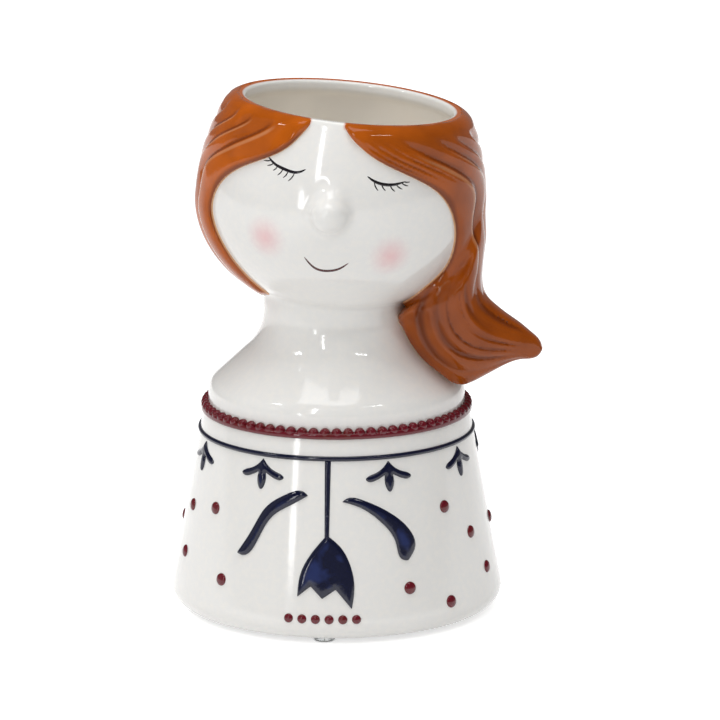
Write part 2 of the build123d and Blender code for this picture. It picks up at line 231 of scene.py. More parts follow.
class HairSizes(bpy.types.PropertyGroup):
    """Sizes of the hair."""

    thickness: length("Thickness", 3.4, "Thickness of the hair at the head's equator")
    crown: length("Crown", 1.0, "Thickness at the crown")
    jaw: length("Jaw", 1.6, "Thickness under the jaw")
    rim_blend: length("Rim blend", 4.4, "Softness of the hair's rim")
    rim_lift: length("Rim lift", 0.35, "How far the hair's rim reaches over the casting's rim")
    jaw_fall: length("Jaw fall", 4.0, "Extra drop of the hair under the jaw where the flick starts")
    face_taper: length("Face taper", 5.0, "How far the flick thins out towards the hairline")
    edge_blend: length("Edge blend", 2.6, "Softness of the hair's edge along the face")
    join_blend: length("Join blend", 11.0, "Softness of the join between head and flick")
    seat: length("Seat", 0.8, "How far the hair's hidden side lies in the casting")
    lock_depth: length("Lock depth", 1.3, "Depth of the grooves between locks")
    fine_depth: length("Fine depth", 0.85, "Depth of the grooves between the fine locks")
    back_sweep: angle("Back sweep", 50.0, "How far the back hair turns towards the flick")
    grain: length("Grain", 0.885, "Size of the mesh faces")


class ReliefSizes(bpy.types.PropertyGroup):
    """Sizes of the relief on the dress."""

    height: length("Height", 1.2, "Height of the painted relief")
    edge: length("Edge", 1.5, "Width of the relief's rounded edge")
    stripe_drop: length("Stripe drop", 8.5, "Distance of the stripe below the neckline")
    stripe_radius: length("Stripe radius", 1.0, "Half thickness of the stripe")
    stem_width: length("Stem width", 2.6, "Width of the tulip's stem")
    stem_length: length("Stem length", 30.5, "Length of the stem below the stripe")
    stem_shift: length("Stem shift", 1.4, "Place of the stem across the dress")
    blossoms: count("Blossoms", 9, "Small blossoms round the stripe")
    blossom_drop: length("Blossom drop", 1.6, "Distance of a blossom's top below the stripe's middle")
    blossom_first: angle("First blossom", 26.5, "Angle of the first blossom from the front")
    beads: count("Beads", 72, "Beads round the neckline")
    bead_radius: length("Bead radius", 2.2, "Radius of a bead")
    bead_rise: length("Bead rise", 1.6, "Height of a bead's middle above the neckline")
    strip_height: length("Strip height", 1.6, "Height of the strip that carries the beads")
    dot_radius: length("Dot radius", 2.6, "Radius of a scattered dot")
    dot_proud: length("Dot height", 1.2, "Height of a dot")
    hem_dots: count("Hem dots", 6, "Dots in the row at the hem")
    hem_dot_radius: length("Hem dot radius", 1.9, "Radius of a hem dot")
    hem_dot_pitch: length("Hem dot pitch", 5.6, "Distance from one hem dot to the next")
    hem_dot_height: length("Hem dot height", 11.5, "Height of the row above the table")
    bumper_radius: length("Bumper radius", 4.6, "Radius of a soft foot")
    bumper_edge: length("Bumper edge", 1.2, "Rounding of a soft foot")
    bumper_inset: length("Bumper inset", 0.4, "Gap from the foot's edge to the rounding of the base")
    bumpers: count("Bumpers", 3, "Soft feet under the dress")


class GlazeColours(bpy.types.PropertyGroup):
    """Colours of the glazes."""

    white: tint("White", 240, 239, 236, "Glaze of skin and dress")
    cream: tint("Cream", 254, 248, 238, "Glaze inside the pot")
    blush: tint("Blush", 240, 150, 158, "Paint on the cheeks")
    amber: tint("Amber", 196, 96, 18, "Hair where the glaze is even")
    # Honey also lightens the crests of the locks, partly as painted highlight
    honey: tint("Honey", 232, 184, 140, "Hair where the glaze is thin")
    # Chestnut also darkens the lower and right-hand hair as painted shade
    chestnut: tint("Chestnut", 92, 36, 8, "Hair where the glaze has pooled")
    navy: tint("Navy", 14, 18, 46, "Leaves, stripe and blossoms where the glaze is thick")
    blue: tint("Blue", 44, 58, 112, "Leaves and blossoms where the glaze is thin")
    red: tint("Red", 104, 18, 32, "Beads and dots")
    ink: tint("Ink", 24, 19, 24, "Eyes and lashes")
    mouth: tint("Mouth", 74, 26, 28, "Line of the mouth")
    rubber: tint("Rubber", 214, 218, 220, "Soft feet")


class StageSizes(bpy.types.PropertyGroup):
    """Camera and light."""

    camera_turn: angle("Camera turn", 5.0, "Camera's place round the planter from the front")
    camera_reach: length("Camera reach", 2150.0, "Camera's distance along the floor")
    camera_height: length("Camera height", 616.0, "Camera's height above the table")
    aim: bpy.props.FloatVectorProperty(
        name="Aim", description="Point that the camera looks at", default=(0.009693, 0.000848, 0.103842),
        subtype="TRANSLATION", unit="LENGTH",
    )
    lens: bpy.props.FloatProperty(name="Lens", description="Focal length", default=266.1, unit="CAMERA")
    floor_reach: length("Floor reach", 3000.0, "Half width of the floor")


GROUPS = {
    "planter_bust": BustSizes,
    "planter_hair": HairSizes,
    "planter_relief": ReliefSizes,
    "planter_glaze": GlazeColours,
    "planter_stage": StageSizes,
}


def sizes(name):
    """Values of a property group by name, with its lengths in millimetres."""
    group = getattr(bpy.context.scene, name)
    values = {}
    for key in type(group).__annotations__:
        value = getattr(group, key)
        is_length = group.bl_rna.properties[key].unit == "LENGTH"
        values[key] = value / MM if is_length and isinstance(value, float) else value
    return SimpleNamespace(**values)


# Flat and solid shapes as number fields

def smooth_min(first, second, reach):
    """Lower of two fields, blended where they come within reach of each other."""
    share = np.clip(0.5 + 0.5 * (second - first) / reach, 0, 1)
    return second + (first - second) * share - reach * share * (1 - share)


def smooth_max(first, second, reach):
    """Higher of two fields, blended where they come within reach of each other."""
    return -smooth_min(-first, -second, reach)


def smooth_step(low, high, value):
    """Soft step from 0 at low to 1 at high."""
    share = np.clip((value - low) / (high - low), 0, 1)
    return share * share * (3 - 2 * share)


def smooth_line(points, steps):
    """Points along a natural cubic spline through the given points."""
    knots = np.array(points, float)
    chords = np.linalg.norm(np.diff(knots, axis=0), axis=1)
    places = np.concatenate([[0], np.cumsum(chords)])
    size = len(knots)
    system = np.zeros((size, size))
    right = np.zeros_like(knots)
    system[0, 0] = 1
    system[-1, -1] = 1
    for k in range(1, size - 1):
        before, after = chords[k - 1], chords[k]
        system[k, k - 1:k + 2] = before, 2 * (before + after), after
        right[k] = 6 * ((knots[k + 1] - knots[k]) / after - (knots[k] - knots[k - 1]) / before)
    bend = np.linalg.solve(system, right)
    where = np.linspace(0, places[-1], steps)
    at = np.clip(np.searchsorted(places, where, side="right") - 1, 0, size - 2)
    width = chords[at][:, None]
    left = (places[at + 1] - where)[:, None] / width
    rest = 1 - left
    curve = left * knots[at] + rest * knots[at + 1]
    pull = (left ** 3 - left) * bend[at] + (rest ** 3 - rest) * bend[at + 1]
    return curve + pull * width ** 2 / 6


def rounded_line(corners, spacing):
    """Points along straight runs with rounded corners. A corner is across, up and its rounding."""
    places = [np.array(corner[:2], float) for corner in corners]
    runs = [places[0][None, :]]
    for k in range(1, len(places) - 1):
        into = places[k] - places[k - 1]
        out = places[k + 1] - places[k]
        into /= np.linalg.norm(into)
        out /= np.linalg.norm(out)
        turn = math.atan2(into[0] * out[1] - into[1] * out[0], into @ out)
        radius = corners[k][2]
        side = np.array([-into[1], into[0]]) * math.copysign(1, turn)
        start = places[k] - into * radius * math.tan(abs(turn) / 2)
        steps = np.linspace(0, abs(turn), max(2, int(abs(turn) * radius / spacing) + 5))[:, None]
        runs.append(start + radius * (side * (1 - np.cos(steps)) + into * np.sin(steps)))
    runs.append(places[-1][None, :])
    line = [runs[0][0]]
    for run in runs[1:]:
        gap = np.linalg.norm(run[0] - line[-1])
        extra = int(gap / spacing)
        line.extend(line[-1] + (run[0] - line[-1]) * step / (extra + 1) for step in range(1, extra + 1))
        line.extend(run)
    kept = [line[0]]
    for point in line[1:]:
        if np.linalg.norm(point - kept[-1]) > 1e-4:
            kept.append(point)
    return np.array(kept)


def line_distance(u, v, line):
    """Distance of flat points from a line of straight runs."""
    nearest = np.full(u.shape, np.inf)
    for start, end in zip(line[:-1], line[1:]):
        run = end - start
        share = ((u - start[0]) * run[0] + (v - start[1]) * run[1]) / max(run @ run, 1e-12)
        share = np.clip(share, 0, 1)
        gap = np.hypot(u - start[0] - share * run[0], v - start[1] - share * run[1])
        nearest = np.minimum(nearest, gap)
    return nearest


def is_inside(u, v, outline):
    """True for flat points inside a closed outline."""
    inside = np.zeros(u.shape, bool)
    for start, end in zip(outline, np.roll(outline, -1, axis=0)):
        if start[1] == end[1]:
            continue
        crosses = (start[1] > v) != (end[1] > v)
        inside ^= crosses & (u < (end[0] - start[0]) * (v - start[1]) / (end[1] - start[1]) + start[0])
    return inside


def outline_distance(u, v, outline):
    """Distance of flat points from a closed outline, below zero inside."""
    closed = np.vstack([outline, outline[:1]])
    return np.where(is_inside(u, v, outline), -1, 1) * line_distance(u, v, closed)


def table_of(function, low, high, step):
    """Function of two flat values, kept on a grid and read back by interpolation."""
    across = np.arange(low[0], high[0] + step, step)
    upward = np.arange(low[1], high[1] + step, step)
    grid = function(*np.meshgrid(across, upward, indexing="ij"))

    def read(u, v):
        column = np.clip((u - low[0]) / step, 0, len(across) - 1.001)
        row = np.clip((v - low[1]) / step, 0, len(upward) - 1.001)
        i, j = column.astype(int), row.astype(int)
        a, b = column - i, row - j
        lower = grid[i, j] * (1 - a) + grid[i + 1, j] * a
        upper = grid[i, j + 1] * (1 - a) + grid[i + 1, j + 1] * a
        return lower * (1 - b) + upper * b

    return read


def egg_field(x, y, h, radius, rise, drop):
    """Distance from an egg with its equator at zero, below zero inside."""
    height = np.where(h > 0, rise, drop)
    near = np.sqrt((x ** 2 + y ** 2) / radius ** 2 + (h / height) ** 2)
    slope = np.sqrt((x ** 2 + y ** 2) / radius ** 4 + (h / height ** 2) ** 2)
    return near * (near - 1) / np.maximum(slope, 1e-6)


def slope(field, points, reach):
    """Rate at which a field grows along each axis, at points."""
    rates = []
    for axis in range(3):
        step = np.zeros(3)
        step[axis] = reach
        rates.append((field(*(points + step).T) - field(*(points - step).T)) / (2 * reach))
    return np.stack(rates, axis=1)


# The bust's own forms

def flank(bust, z):
    """Radius of the dress at a height."""
    taper = (bust.base_radius - bust.neckline_radius) / (bust.neckline_height - bust.stand_height)
    return bust.base_radius - taper * (z - bust.stand_height)


def flank_lean(bust):
    """Angle of the dress's side from upright."""
    return math.atan2(bust.base_radius - bust.neckline_radius, bust.neckline_height - bust.stand_height)


def pivot(bust):
    """Point on the neck that the head leans about."""
    return bust.head_shift, bust.neckline_height + bust.pivot_rise


def to_head(bust, x, y, z):
    """Coordinates across, back and up from the middle of the leaning head's equator."""
    pivot_x, pivot_z = pivot(bust)
    cos, sin = math.cos(bust.head_lean), math.sin(bust.head_lean)
    across = (x - pivot_x) * cos - (z - pivot_z) * sin
    up = (x - pivot_x) * sin + (z - pivot_z) * cos
    return across, y, up - bust.equator_rise


def from_head(bust, across, back, up):
    """Points in the planter's frame, from coordinates on the leaning head."""
    pivot_x, pivot_z = pivot(bust)
    cos, sin = math.cos(bust.head_lean), math.sin(bust.head_lean)
    lift = up + bust.equator_rise
    x = across * cos + lift * sin + pivot_x
    z = lift * cos - across * sin + pivot_z
    return np.stack(np.broadcast_arrays(x, back, z), axis=-1)


def head_field(bust, across, back, up, wall=0.0):
    """Distance from the head's egg, or from its hollow inside a wall, below zero inside."""
    radius, rise, drop = (size - wall for size in (bust.head_radius, bust.crown_rise, bust.jaw_drop))
    return egg_field(across, back, up, radius, rise, drop)


def head_ring(bust, up):
    """Radius of the head at a height from its equator."""
    tall = np.where(up > 0, bust.crown_rise, bust.jaw_drop)
    return bust.head_radius * np.sqrt(np.maximum(1 - (up / tall) ** 2, 0.04))


def skin_field(bust, x, y, z):
    """Distance from the skin of head, nose and neck, below zero inside."""
    across, back, up = to_head(bust, x, y, z)
    head = head_field(bust, across, back, up)
    ball = np.array([0, bust.nose_radius - bust.head_radius - bust.nose_proud, bust.nose_rise])
    bridge = bust.nose_length * np.array([0, math.sin(bust.nose_lean), math.cos(bust.nose_lean)])
    along = ((back - ball[1]) * bridge[1] + (up - ball[2]) * bridge[2]) / (bridge @ bridge)
    along = np.clip(along, 0, 1)
    gaps = across, back - ball[1] - along * bridge[1], up - ball[2] - along * bridge[2]
    off = np.sqrt(sum(gap ** 2 for gap in gaps))
    nose = off - bust.nose_radius + (bust.nose_radius - bust.nose_tip) * along
    neck = np.hypot(x, y) - bust.neck_radius
    return smooth_min(smooth_min(head, nose, bust.nose_blend), neck, bust.jaw_blend)


def inner_field(bust, x, y, z):
    """Distance from the inside of head and neck, below zero in the open space."""
    bowl = head_field(bust, *to_head(bust, x, y, z), bust.wall)
    return smooth_min(bowl, np.hypot(x, y) - bust.neck_radius + bust.wall, bust.jaw_blend)


def first_crossing(field, near, far):
    """Values between near and far where a field that starts below zero reaches zero."""
    near = np.array(near, float)
    far = np.array(far, float)
    for _ in range(36):
        middle = (near + far) / 2
        inside = field(middle) < 0
        near = np.where(inside, middle, near)
        far = np.where(inside, far, middle)
    return (near + far) / 2


def face_points(bust, across, up):
    """Points on the front of the head, from places across and up from its equator."""
    across, up = np.asarray(across, float), np.asarray(up, float)

    def depth(forward):
        return skin_field(bust, *np.moveaxis(from_head(bust, across, -forward, up), -1, 0))

    forward = first_crossing(depth, np.zeros(across.shape), np.full(across.shape, bust.head_radius * 2))
    return from_head(bust, across, -forward, up)


# Meshes

def new_piece(name, points, faces, finish, slot, nodes, marks=None, tree=None, inputs=None):
    """Piece of points in millimetres, or of what a node tree makes of them, in the place of CAD nodes."""
    mesh = bpy.data.meshes.new(name)
    mesh.from_pydata((np.asarray(points) * MM).tolist(), [], faces)
    mesh.polygons.foreach_set("use_smooth", [True] * len(mesh.polygons))
    for key, values in (marks or {}).items():
        values = np.asarray(values, np.float32)
        kind, part = ("FLOAT", "value") if values.ndim == 1 else ("FLOAT_VECTOR", "vector")
        mesh.attributes.new(key, kind, "POINT").data.foreach_set(part, values.ravel())
    mesh.materials.append(finish)
    mesh.update()
    piece = bpy.data.objects.new(name, mesh)
    bpy.context.scene.collection.objects.link(piece)
    if tree:
        make_real(piece, tree, {"Finish": finish, **inputs})
    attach(piece, BODY)
    if nodes:
        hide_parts(*nodes)


def make_real(piece, tree, values):
    """Replaces the mesh of a piece by what the node tree makes of it."""
    modifier = piece.modifiers.new(tree.name, "NODES")
    modifier.node_group = tree
    for item in tree.interface.items_tree:
        if item.in_out == "INPUT" and item.name in values:
            modifier[item.identifier] = values[item.name]
    bpy.context.view_layer.update()
    graph = bpy.context.evaluated_depsgraph_get()
    mesh = bpy.data.meshes.new_from_object(piece.evaluated_get(graph))
    piece.modifiers.clear()
    seed = piece.data
    piece.data = mesh
    bpy.data.meshes.remove(seed)
    mesh.name = piece.name


def ring_faces(rings, columns, closed=False):
    """Quads between rings of points that follow each other."""
    faces = []
    last = rings if closed else rings - 1
    for ring in range(last):
        low = ring * columns
        high = (ring + 1) % rings * columns
        for column in range(columns):
            after = (column + 1) % columns
            faces.append((low + column, low + after, high + after, high + column))
    return faces


def revolved(profile, columns):
    """Points and faces of a closed flat outline turned about the planter's axis."""
    turns = np.arange(columns) / columns * FULL_TURN
    sin, cos = np.sin(turns), np.cos(turns)
    rings = [np.stack([r * sin, -r * cos, np.full(columns, z)], axis=1) for r, z in profile]
    return np.vstack(rings), ring_faces(len(profile), columns, closed=True)


def net_surface(field, low, high, step):
    """Points and quads of the zero surface of a field in a box, on a grid of cubes."""
    axes = [np.arange(low[axis], high[axis] + step, step) for axis in range(3)]
    y, z = np.meshgrid(axes[1], axes[2], indexing="ij")
    values = np.stack([field(np.full(y.shape, x), y, z) for x in axes[0]]).astype(np.float32)
    shape = [len(axis) - 1 for axis in axes]
    corners = [(i, j, k) for i in (0, 1) for j in (0, 1) for k in (0, 1)]
    blocks = [values[i:i + shape[0], j:j + shape[1], k:k + shape[2]] for i, j, k in corners]
    lowest = np.minimum.reduce(blocks)
    highest = np.maximum.reduce(blocks)
    cells = np.argwhere((lowest < 0) & (highest >= 0))
    heights = np.stack([block[tuple(cells.T)] for block in blocks], axis=1)
    total = np.zeros((len(cells), 3))
    hits = np.zeros(len(cells))
    for a in range(8):
        for b in range(a + 1, 8):
            if sum(abs(p - q) for p, q in zip(corners[a], corners[b])) != 1:
                continue
            crosses = (heights[:, a] < 0) != (heights[:, b] < 0)
            share = heights[:, a] / np.where(crosses, heights[:, a] - heights[:, b], 1)
            place = np.array(corners[a]) + share[:, None] * (np.array(corners[b]) - np.array(corners[a]))
            total += np.where(crosses[:, None], place, 0)
            hits += crosses
    points = np.array(low) + (cells + total / hits[:, None]) * step
    index = np.full(shape, -1)
    index[tuple(cells.T)] = np.arange(len(cells))
    faces = []
    inside = values < 0
    for axis in range(3):
        other, third = (axis + 1) % 3, (axis + 2) % 3
        ahead = np.roll(inside, -1, axis=axis)
        edges = inside != ahead
        edge = np.argwhere(edges)
        keep = (edge[:, axis] < shape[axis]) & (edge[:, other] > 0) & (edge[:, third] > 0)
        keep &= (edge[:, other] < shape[other]) & (edge[:, third] < shape[third])
        edge = edge[keep]
        quad = []
        for back, down in ((1, 1), (0, 1), (0, 0), (1, 0)):
            cell = edge.copy()
            cell[:, other] -= back
            cell[:, third] -= down
            quad.append(index[tuple(cell.T)])
        quad = np.stack(quad, axis=1)
        leaving = inside[tuple(edge.T)]
        faces.append(np.where(leaving[:, None], quad, quad[:, ::-1]))
    return points, np.vstack(faces)


def settle_on(field, points, faces, rounds):
    """Points eased over their neighbours and drawn back on to the field's zero surface."""
    first, second = np.vstack([faces[:, [a, (a + 1) % 4]] for a in range(4)]).T
    size = len(points)
    near = np.bincount(first, minlength=size) + np.bincount(second, minlength=size)
    last_draws, ease, steepest, longest = 2, 0.5, 0.05, 0.6
    for step in range(rounds + last_draws):
        if step < rounds:
            total = [
                np.bincount(first, column[second], size) + np.bincount(second, column[first], size)
                for column in points.T
            ]
            points = points + ease * (np.stack(total, axis=1) / near[:, None] - points)
        slopes = slope(field, points, 0.1)
        steep = np.maximum((slopes ** 2).sum(axis=1), steepest)
        move = -field(*points.T)[:, None] * slopes / steep[:, None]
        limit = np.maximum(np.linalg.norm(move, axis=1, keepdims=True) / longest, 1)
        points = points + move / limit
    return points


# Geometry node trees

def node(tree, kind, inputs=None, **settings):
    """New node with its settings, and its sockets set to values or joined to other sockets."""
    made = tree.nodes.new(kind)
    for key, value in settings.items():
        setattr(made, key, value)
    for key, value in (inputs or {}).items():
        if isinstance(value, bpy.types.NodeSocket):
            tree.links.new(value, made.inputs[key])
        else:
            made.inputs[key].default_value = value
    return made


def reckon(tree, operation, *values):
    """Result of a math node on values or sockets."""
    return node(tree, "ShaderNodeMath", dict(enumerate(values)), operation=operation).outputs[0]


def socket(tree, kind, name, place):
    """Socket on a node group's interface."""
    return tree.interface.new_socket(name=name, in_out=place, socket_type=kind)


def placing_tree(name, inputs):
    """Node tree with a mesh, a material and named inputs coming in, and a mesh going out."""
    tree = bpy.data.node_groups.new(name, "GeometryNodeTree")
    socket(tree, "NodeSocketGeometry", "Mesh", "INPUT")
    socket(tree, "NodeSocketMaterial", "Finish", "INPUT")
    for key, kind in inputs.items():
        socket(tree, kind, key, "INPUT")
    socket(tree, "NodeSocketGeometry", "Mesh", "OUTPUT")
    return tree, node(tree, "NodeGroupInput").outputs


def finish_tree(tree, given, shape):
    """Ends a tree: instances made real, smooth, and given their material."""
    real = node(tree, "GeometryNodeRealizeInstances", {"Geometry": shape})
    smooth = node(tree, "GeometryNodeSetShadeSmooth", {"Geometry": real.outputs[0]})
    painted = node(tree, "GeometryNodeSetMaterial",
                   {"Geometry": smooth.outputs[0], "Material": given["Finish"]})
    node(tree, "NodeGroupOutput", {"Mesh": painted.outputs[0]})
    return tree


def ring_tree():
    """Copies of the mesh round the planter's axis, the first at an angle and a step apart."""
    inputs = {"Count": "NodeSocketInt", "First": "NodeSocketFloat", "Step": "NodeSocketFloat"}
    tree, given = placing_tree("copies_round_axis", inputs)
    points = node(tree, "GeometryNodePoints", {"Count": given["Count"]})
    index = node(tree, "GeometryNodeInputIndex")
    turned = reckon(tree, "MULTIPLY_ADD", index.outputs[0], given["Step"], given["First"])
    turn = node(tree, "ShaderNodeCombineXYZ", {"Z": turned})
    copies = node(tree, "GeometryNodeInstanceOnPoints",
                  {"Points": points.outputs[0], "Instance": given["Mesh"], "Rotation": turn.outputs[0]})
    return finish_tree(tree, given, copies.outputs[0])


def bead_tree():
    """Beads on a circle, joined to the strip that carries them."""
    inputs = {"Count": "NodeSocketInt", "Ring": "NodeSocketFloat", "Height": "NodeSocketFloat",
              "Bead": "NodeSocketFloat"}
    tree, given = placing_tree("beads_on_strip", inputs)
    circle = node(tree, "GeometryNodeMeshCircle", {"Vertices": given["Count"], "Radius": given["Ring"]})
    lift = node(tree, "ShaderNodeCombineXYZ", {"Z": given["Height"]})
    ring = node(tree, "GeometryNodeTransform",
                {"Geometry": circle.outputs[0], "Translation": lift.outputs[0]})
    bead = node(tree, "GeometryNodeMeshUVSphere", {"Segments": 16, "Rings": 10, "Radius": given["Bead"]})
    copies = node(tree, "GeometryNodeInstanceOnPoints",
                  {"Points": ring.outputs[0], "Instance": bead.outputs[0]})
    both = node(tree, "GeometryNodeJoinGeometry", {"Geometry": copies.outputs[0]})
    tree.links.new(given["Mesh"], both.inputs[0])
    return finish_tree(tree, given, both.outputs[0])


def dot_tree():
    """Low domes on the points of the mesh, each facing along its outward direction."""
    inputs = {"Radius": "NodeSocketFloat", "Height": "NodeSocketFloat"}
    tree, given = placing_tree("dots_on_spots", inputs)
    facing = node(tree, "GeometryNodeInputNamedAttribute", {"Name": "outward"}, data_type="FLOAT_VECTOR")
    turn = node(tree, "FunctionNodeAlignRotationToVector", {"Vector": facing.outputs[0]}, axis="Z")
    ball = node(tree, "GeometryNodeMeshUVSphere", {"Segments": 24, "Rings": 14, "Radius": 1.0})
    size = node(tree, "ShaderNodeCombineXYZ",
                {"X": given["Radius"], "Y": given["Radius"], "Z": given["Height"]})
    dome = node(tree, "GeometryNodeTransform", {"Geometry": ball.outputs[0], "Scale": size.outputs[0]})
    copies = node(tree, "GeometryNodeInstanceOnPoints",
                  {"Points": given["Mesh"], "Instance": dome.outputs[0], "Rotation": turn.outputs[0]})
    return finish_tree(tree, given, copies.outputs[0])


# Glazes

def glaze_group():
    """Shared unevenness of a glaze: a pooling mask, a fine mottle and a ripple height."""
    if "glaze_unevenness" in bpy.data.node_groups:
        return bpy.data.node_groups["glaze_unevenness"]
    tree = bpy.data.node_groups.new("glaze_unevenness", "ShaderNodeTree")
    socket(tree, "NodeSocketFloat", "Pool Size", "INPUT")
    socket(tree, "NodeSocketFloat", "Mottle Size", "INPUT")
    for name in ("Pool", "Mottle", "Ripple"):
        socket(tree, "NodeSocketFloat", name, "OUTPUT")
    given = node(tree, "NodeGroupInput").outputs
    place = node(tree, "ShaderNodeTexCoord").outputs["Object"]
    pool, mottle = (
        node(tree, "ShaderNodeTexNoise", {"Vector": place, "Scale": given[size], "Detail": detail})
        for size, detail in (("Pool Size", 2.0), ("Mottle Size", 4.0))
    )
    pits = node(tree, "ShaderNodeTexVoronoi", {"Vector": place, "Scale": given["Mottle Size"]})
    ripple = reckon(tree, "MULTIPLY_ADD", pits.outputs["Distance"], 0.08, pool.outputs["Fac"])
    node(tree, "NodeGroupOutput",
         {"Pool": pool.outputs["Fac"], "Mottle": mottle.outputs["Fac"], "Ripple": ripple})
    return tree


def new_finish(name, pool_size, mottle_size, ripple, rough, shader):
    """Material with an uneven surface, its tree, the unevenness and the socket of its colour."""
    finish = bpy.data.materials.new(name)
    finish.use_nodes = True
    tree = finish.node_tree
    tree.nodes.clear()
    uneven = node(tree, "ShaderNodeGroup", {"Pool Size": pool_size, "Mottle Size": mottle_size},
                  node_tree=glaze_group()).outputs
    bump = node(tree, "ShaderNodeBump",
                {"Strength": 1.0, "Distance": ripple * MM, "Height": uneven["Ripple"]})
    gloss = node(tree, "ShaderNodeBsdfPrincipled", {
        "Normal": bump.outputs[0], "Roughness": ramp(tree, uneven["Mottle"], 0.3, 0.8, *rough), **shader,
    })
    node(tree, "ShaderNodeOutputMaterial", {"Surface": gloss.outputs[0]})
    return finish, tree, uneven, gloss.inputs["Base Color"]


def blend(tree, share, low, high):
    """Colour between two colours or sockets."""
    return node(tree, "ShaderNodeMix", {0: share, 6: low, 7: high}, data_type="RGBA").outputs[2]


def ramp(tree, value, low, high, bottom=0.0, top=1.0):
    """Soft step of a value from low to high."""
    step = node(tree, "ShaderNodeMapRange",
                {"Value": value, "From Min": low, "From Max": high, "To Min": bottom, "To Max": top},
                interpolation_type="SMOOTHSTEP")
    return step.outputs["Result"]


def mark(tree, name):
    """Value of a piece's own attribute."""
    return node(tree, "ShaderNodeAttribute", attribute_name=name).outputs["Fac"]


def white_glaze(bust, colours):
    """White glaze with a cream inside, hair glaze on the rim and a blush on the cheeks."""
    finish, tree, uneven, colour = new_finish("white_glaze", 26.0, 420.0, 0.10, (0.07, 0.13), {"IOR": 1.52})
    body = blend(tree, ramp(tree, uneven["Mottle"], 0.35, 0.75, 0.0, 0.25), colours.white, colours.cream)
    inner = blend(tree, ramp(tree, uneven["Pool"], 0.3, 0.7, 0.0, 0.3), colours.cream, colours.white)
    body = blend(tree, mark(tree, "inside"), body, inner)
    place = node(tree, "ShaderNodeTexCoord").outputs["Object"]
    blush_reach, frayed = 0.0125, 0.003
    for spot in face_points(bust, *np.array(BLUSH_SPOTS).T) * MM:
        gap = node(tree, "ShaderNodeVectorMath", {0: place, 1: Vector(spot)}, operation="DISTANCE")
        worn = reckon(tree, "MULTIPLY_ADD", uneven["Mottle"], frayed, gap.outputs["Value"])
        body = blend(tree, ramp(tree, worn, blush_reach, 0.0, 0.0, 0.5), body, colours.blush)
    body = blend(tree, mark(tree, "rim_paint"), body, colours.amber)
    tree.links.new(body, colour)
    return finish


def hair_glaze(colours):
    """Amber glaze: dark where it pools in grooves, pale on thin edges, painted shade low and on the right,
    partly painted highlight on crests.
    """
    finish, tree, uneven, colour = new_finish("hair_glaze", 60.0, 500.0, 0.08, (0.04, 0.1),
                                              {"IOR": 1.46, "Specular IOR Level": 0.3})
    place = node(tree, "ShaderNodeTexCoord").outputs["Object"]
    parts = node(tree, "ShaderNodeSeparateXYZ", {0: place}).outputs
    # Masks, the range over which each comes in, its share at the end and the colour it brings
    layers = (
        # Darker towards the bottom: painted shade on the lower hair, partly also glaze that runs down
        (parts["Z"], 0.2, 0.11, 0.3, colours.chestnut),
        # Darker towards the right-hand side: painted shade
        (parts["X"], -0.02, 0.06, 0.3, colours.chestnut),
        (mark(tree, "pool"), 0.1, 1.0, 0.7, colours.chestnut),
        # Pale crest lines: partly glaze that thins on the ridges, partly painted highlight
        (mark(tree, "crest"), 0.3, 1.0, 0.28, colours.honey),
        (mark(tree, "edge"), 0.35, 0.9, 0.8, colours.honey),
    )
    body = blend(tree, ramp(tree, uneven["Pool"], 0.3, 0.75, 0.0, 0.35), colours.amber, colours.chestnut)
    for mask, low, high, share, tone in layers:
        body = blend(tree, ramp(tree, mask, low, high, 0.0, share), body, tone)
    tree.links.new(body, colour)
    return finish


def brush_glaze(name, thick, thin, pool_size, share):
    """Brushed glaze that runs between a thick and a thin colour."""
    finish, tree, uneven, colour = new_finish(name, pool_size, 700.0, 0.10, (0.06, 0.14), {"IOR": 1.5})
    tree.links.new(blend(tree, ramp(tree, uneven["Pool"], 0.48, 0.72, 0.0, share), thick, thin), colour)
    return finish


def navy_glaze(colours):
    """Thick navy glaze, bluer where it thins towards the middle of a stroke."""
    finish, tree, uneven, colour = new_finish("navy_glaze", 130.0, 700.0, 0.10, (0.08, 0.16), {"IOR": 1.5})
    middle = ramp(tree, mark(tree, "middle"), 0.8, 3.2)
    streak = reckon(tree, "MULTIPLY", middle, ramp(tree, uneven["Pool"], 0.44, 0.66))
    tree.links.new(blend(tree, reckon(tree, "MULTIPLY", streak, 0.6), colours.navy, colours.blue), colour)
    return finish


def soft_rubber(colours):
    """Clear soft plastic with a faint haze."""
    finish, tree, uneven, colour = new_finish("bumper_rubber", 300.0, 900.0, 0.05, (0.2, 0.35),
                                              {"IOR": 1.45, "Transmission Weight": 0.7})
    haze = ramp(tree, uneven["Pool"], 0.3, 0.7, 0.0, 0.3)
    tree.links.new(blend(tree, haze, colours.rubber, colours.cream), colour)
    return finish


# Pieces

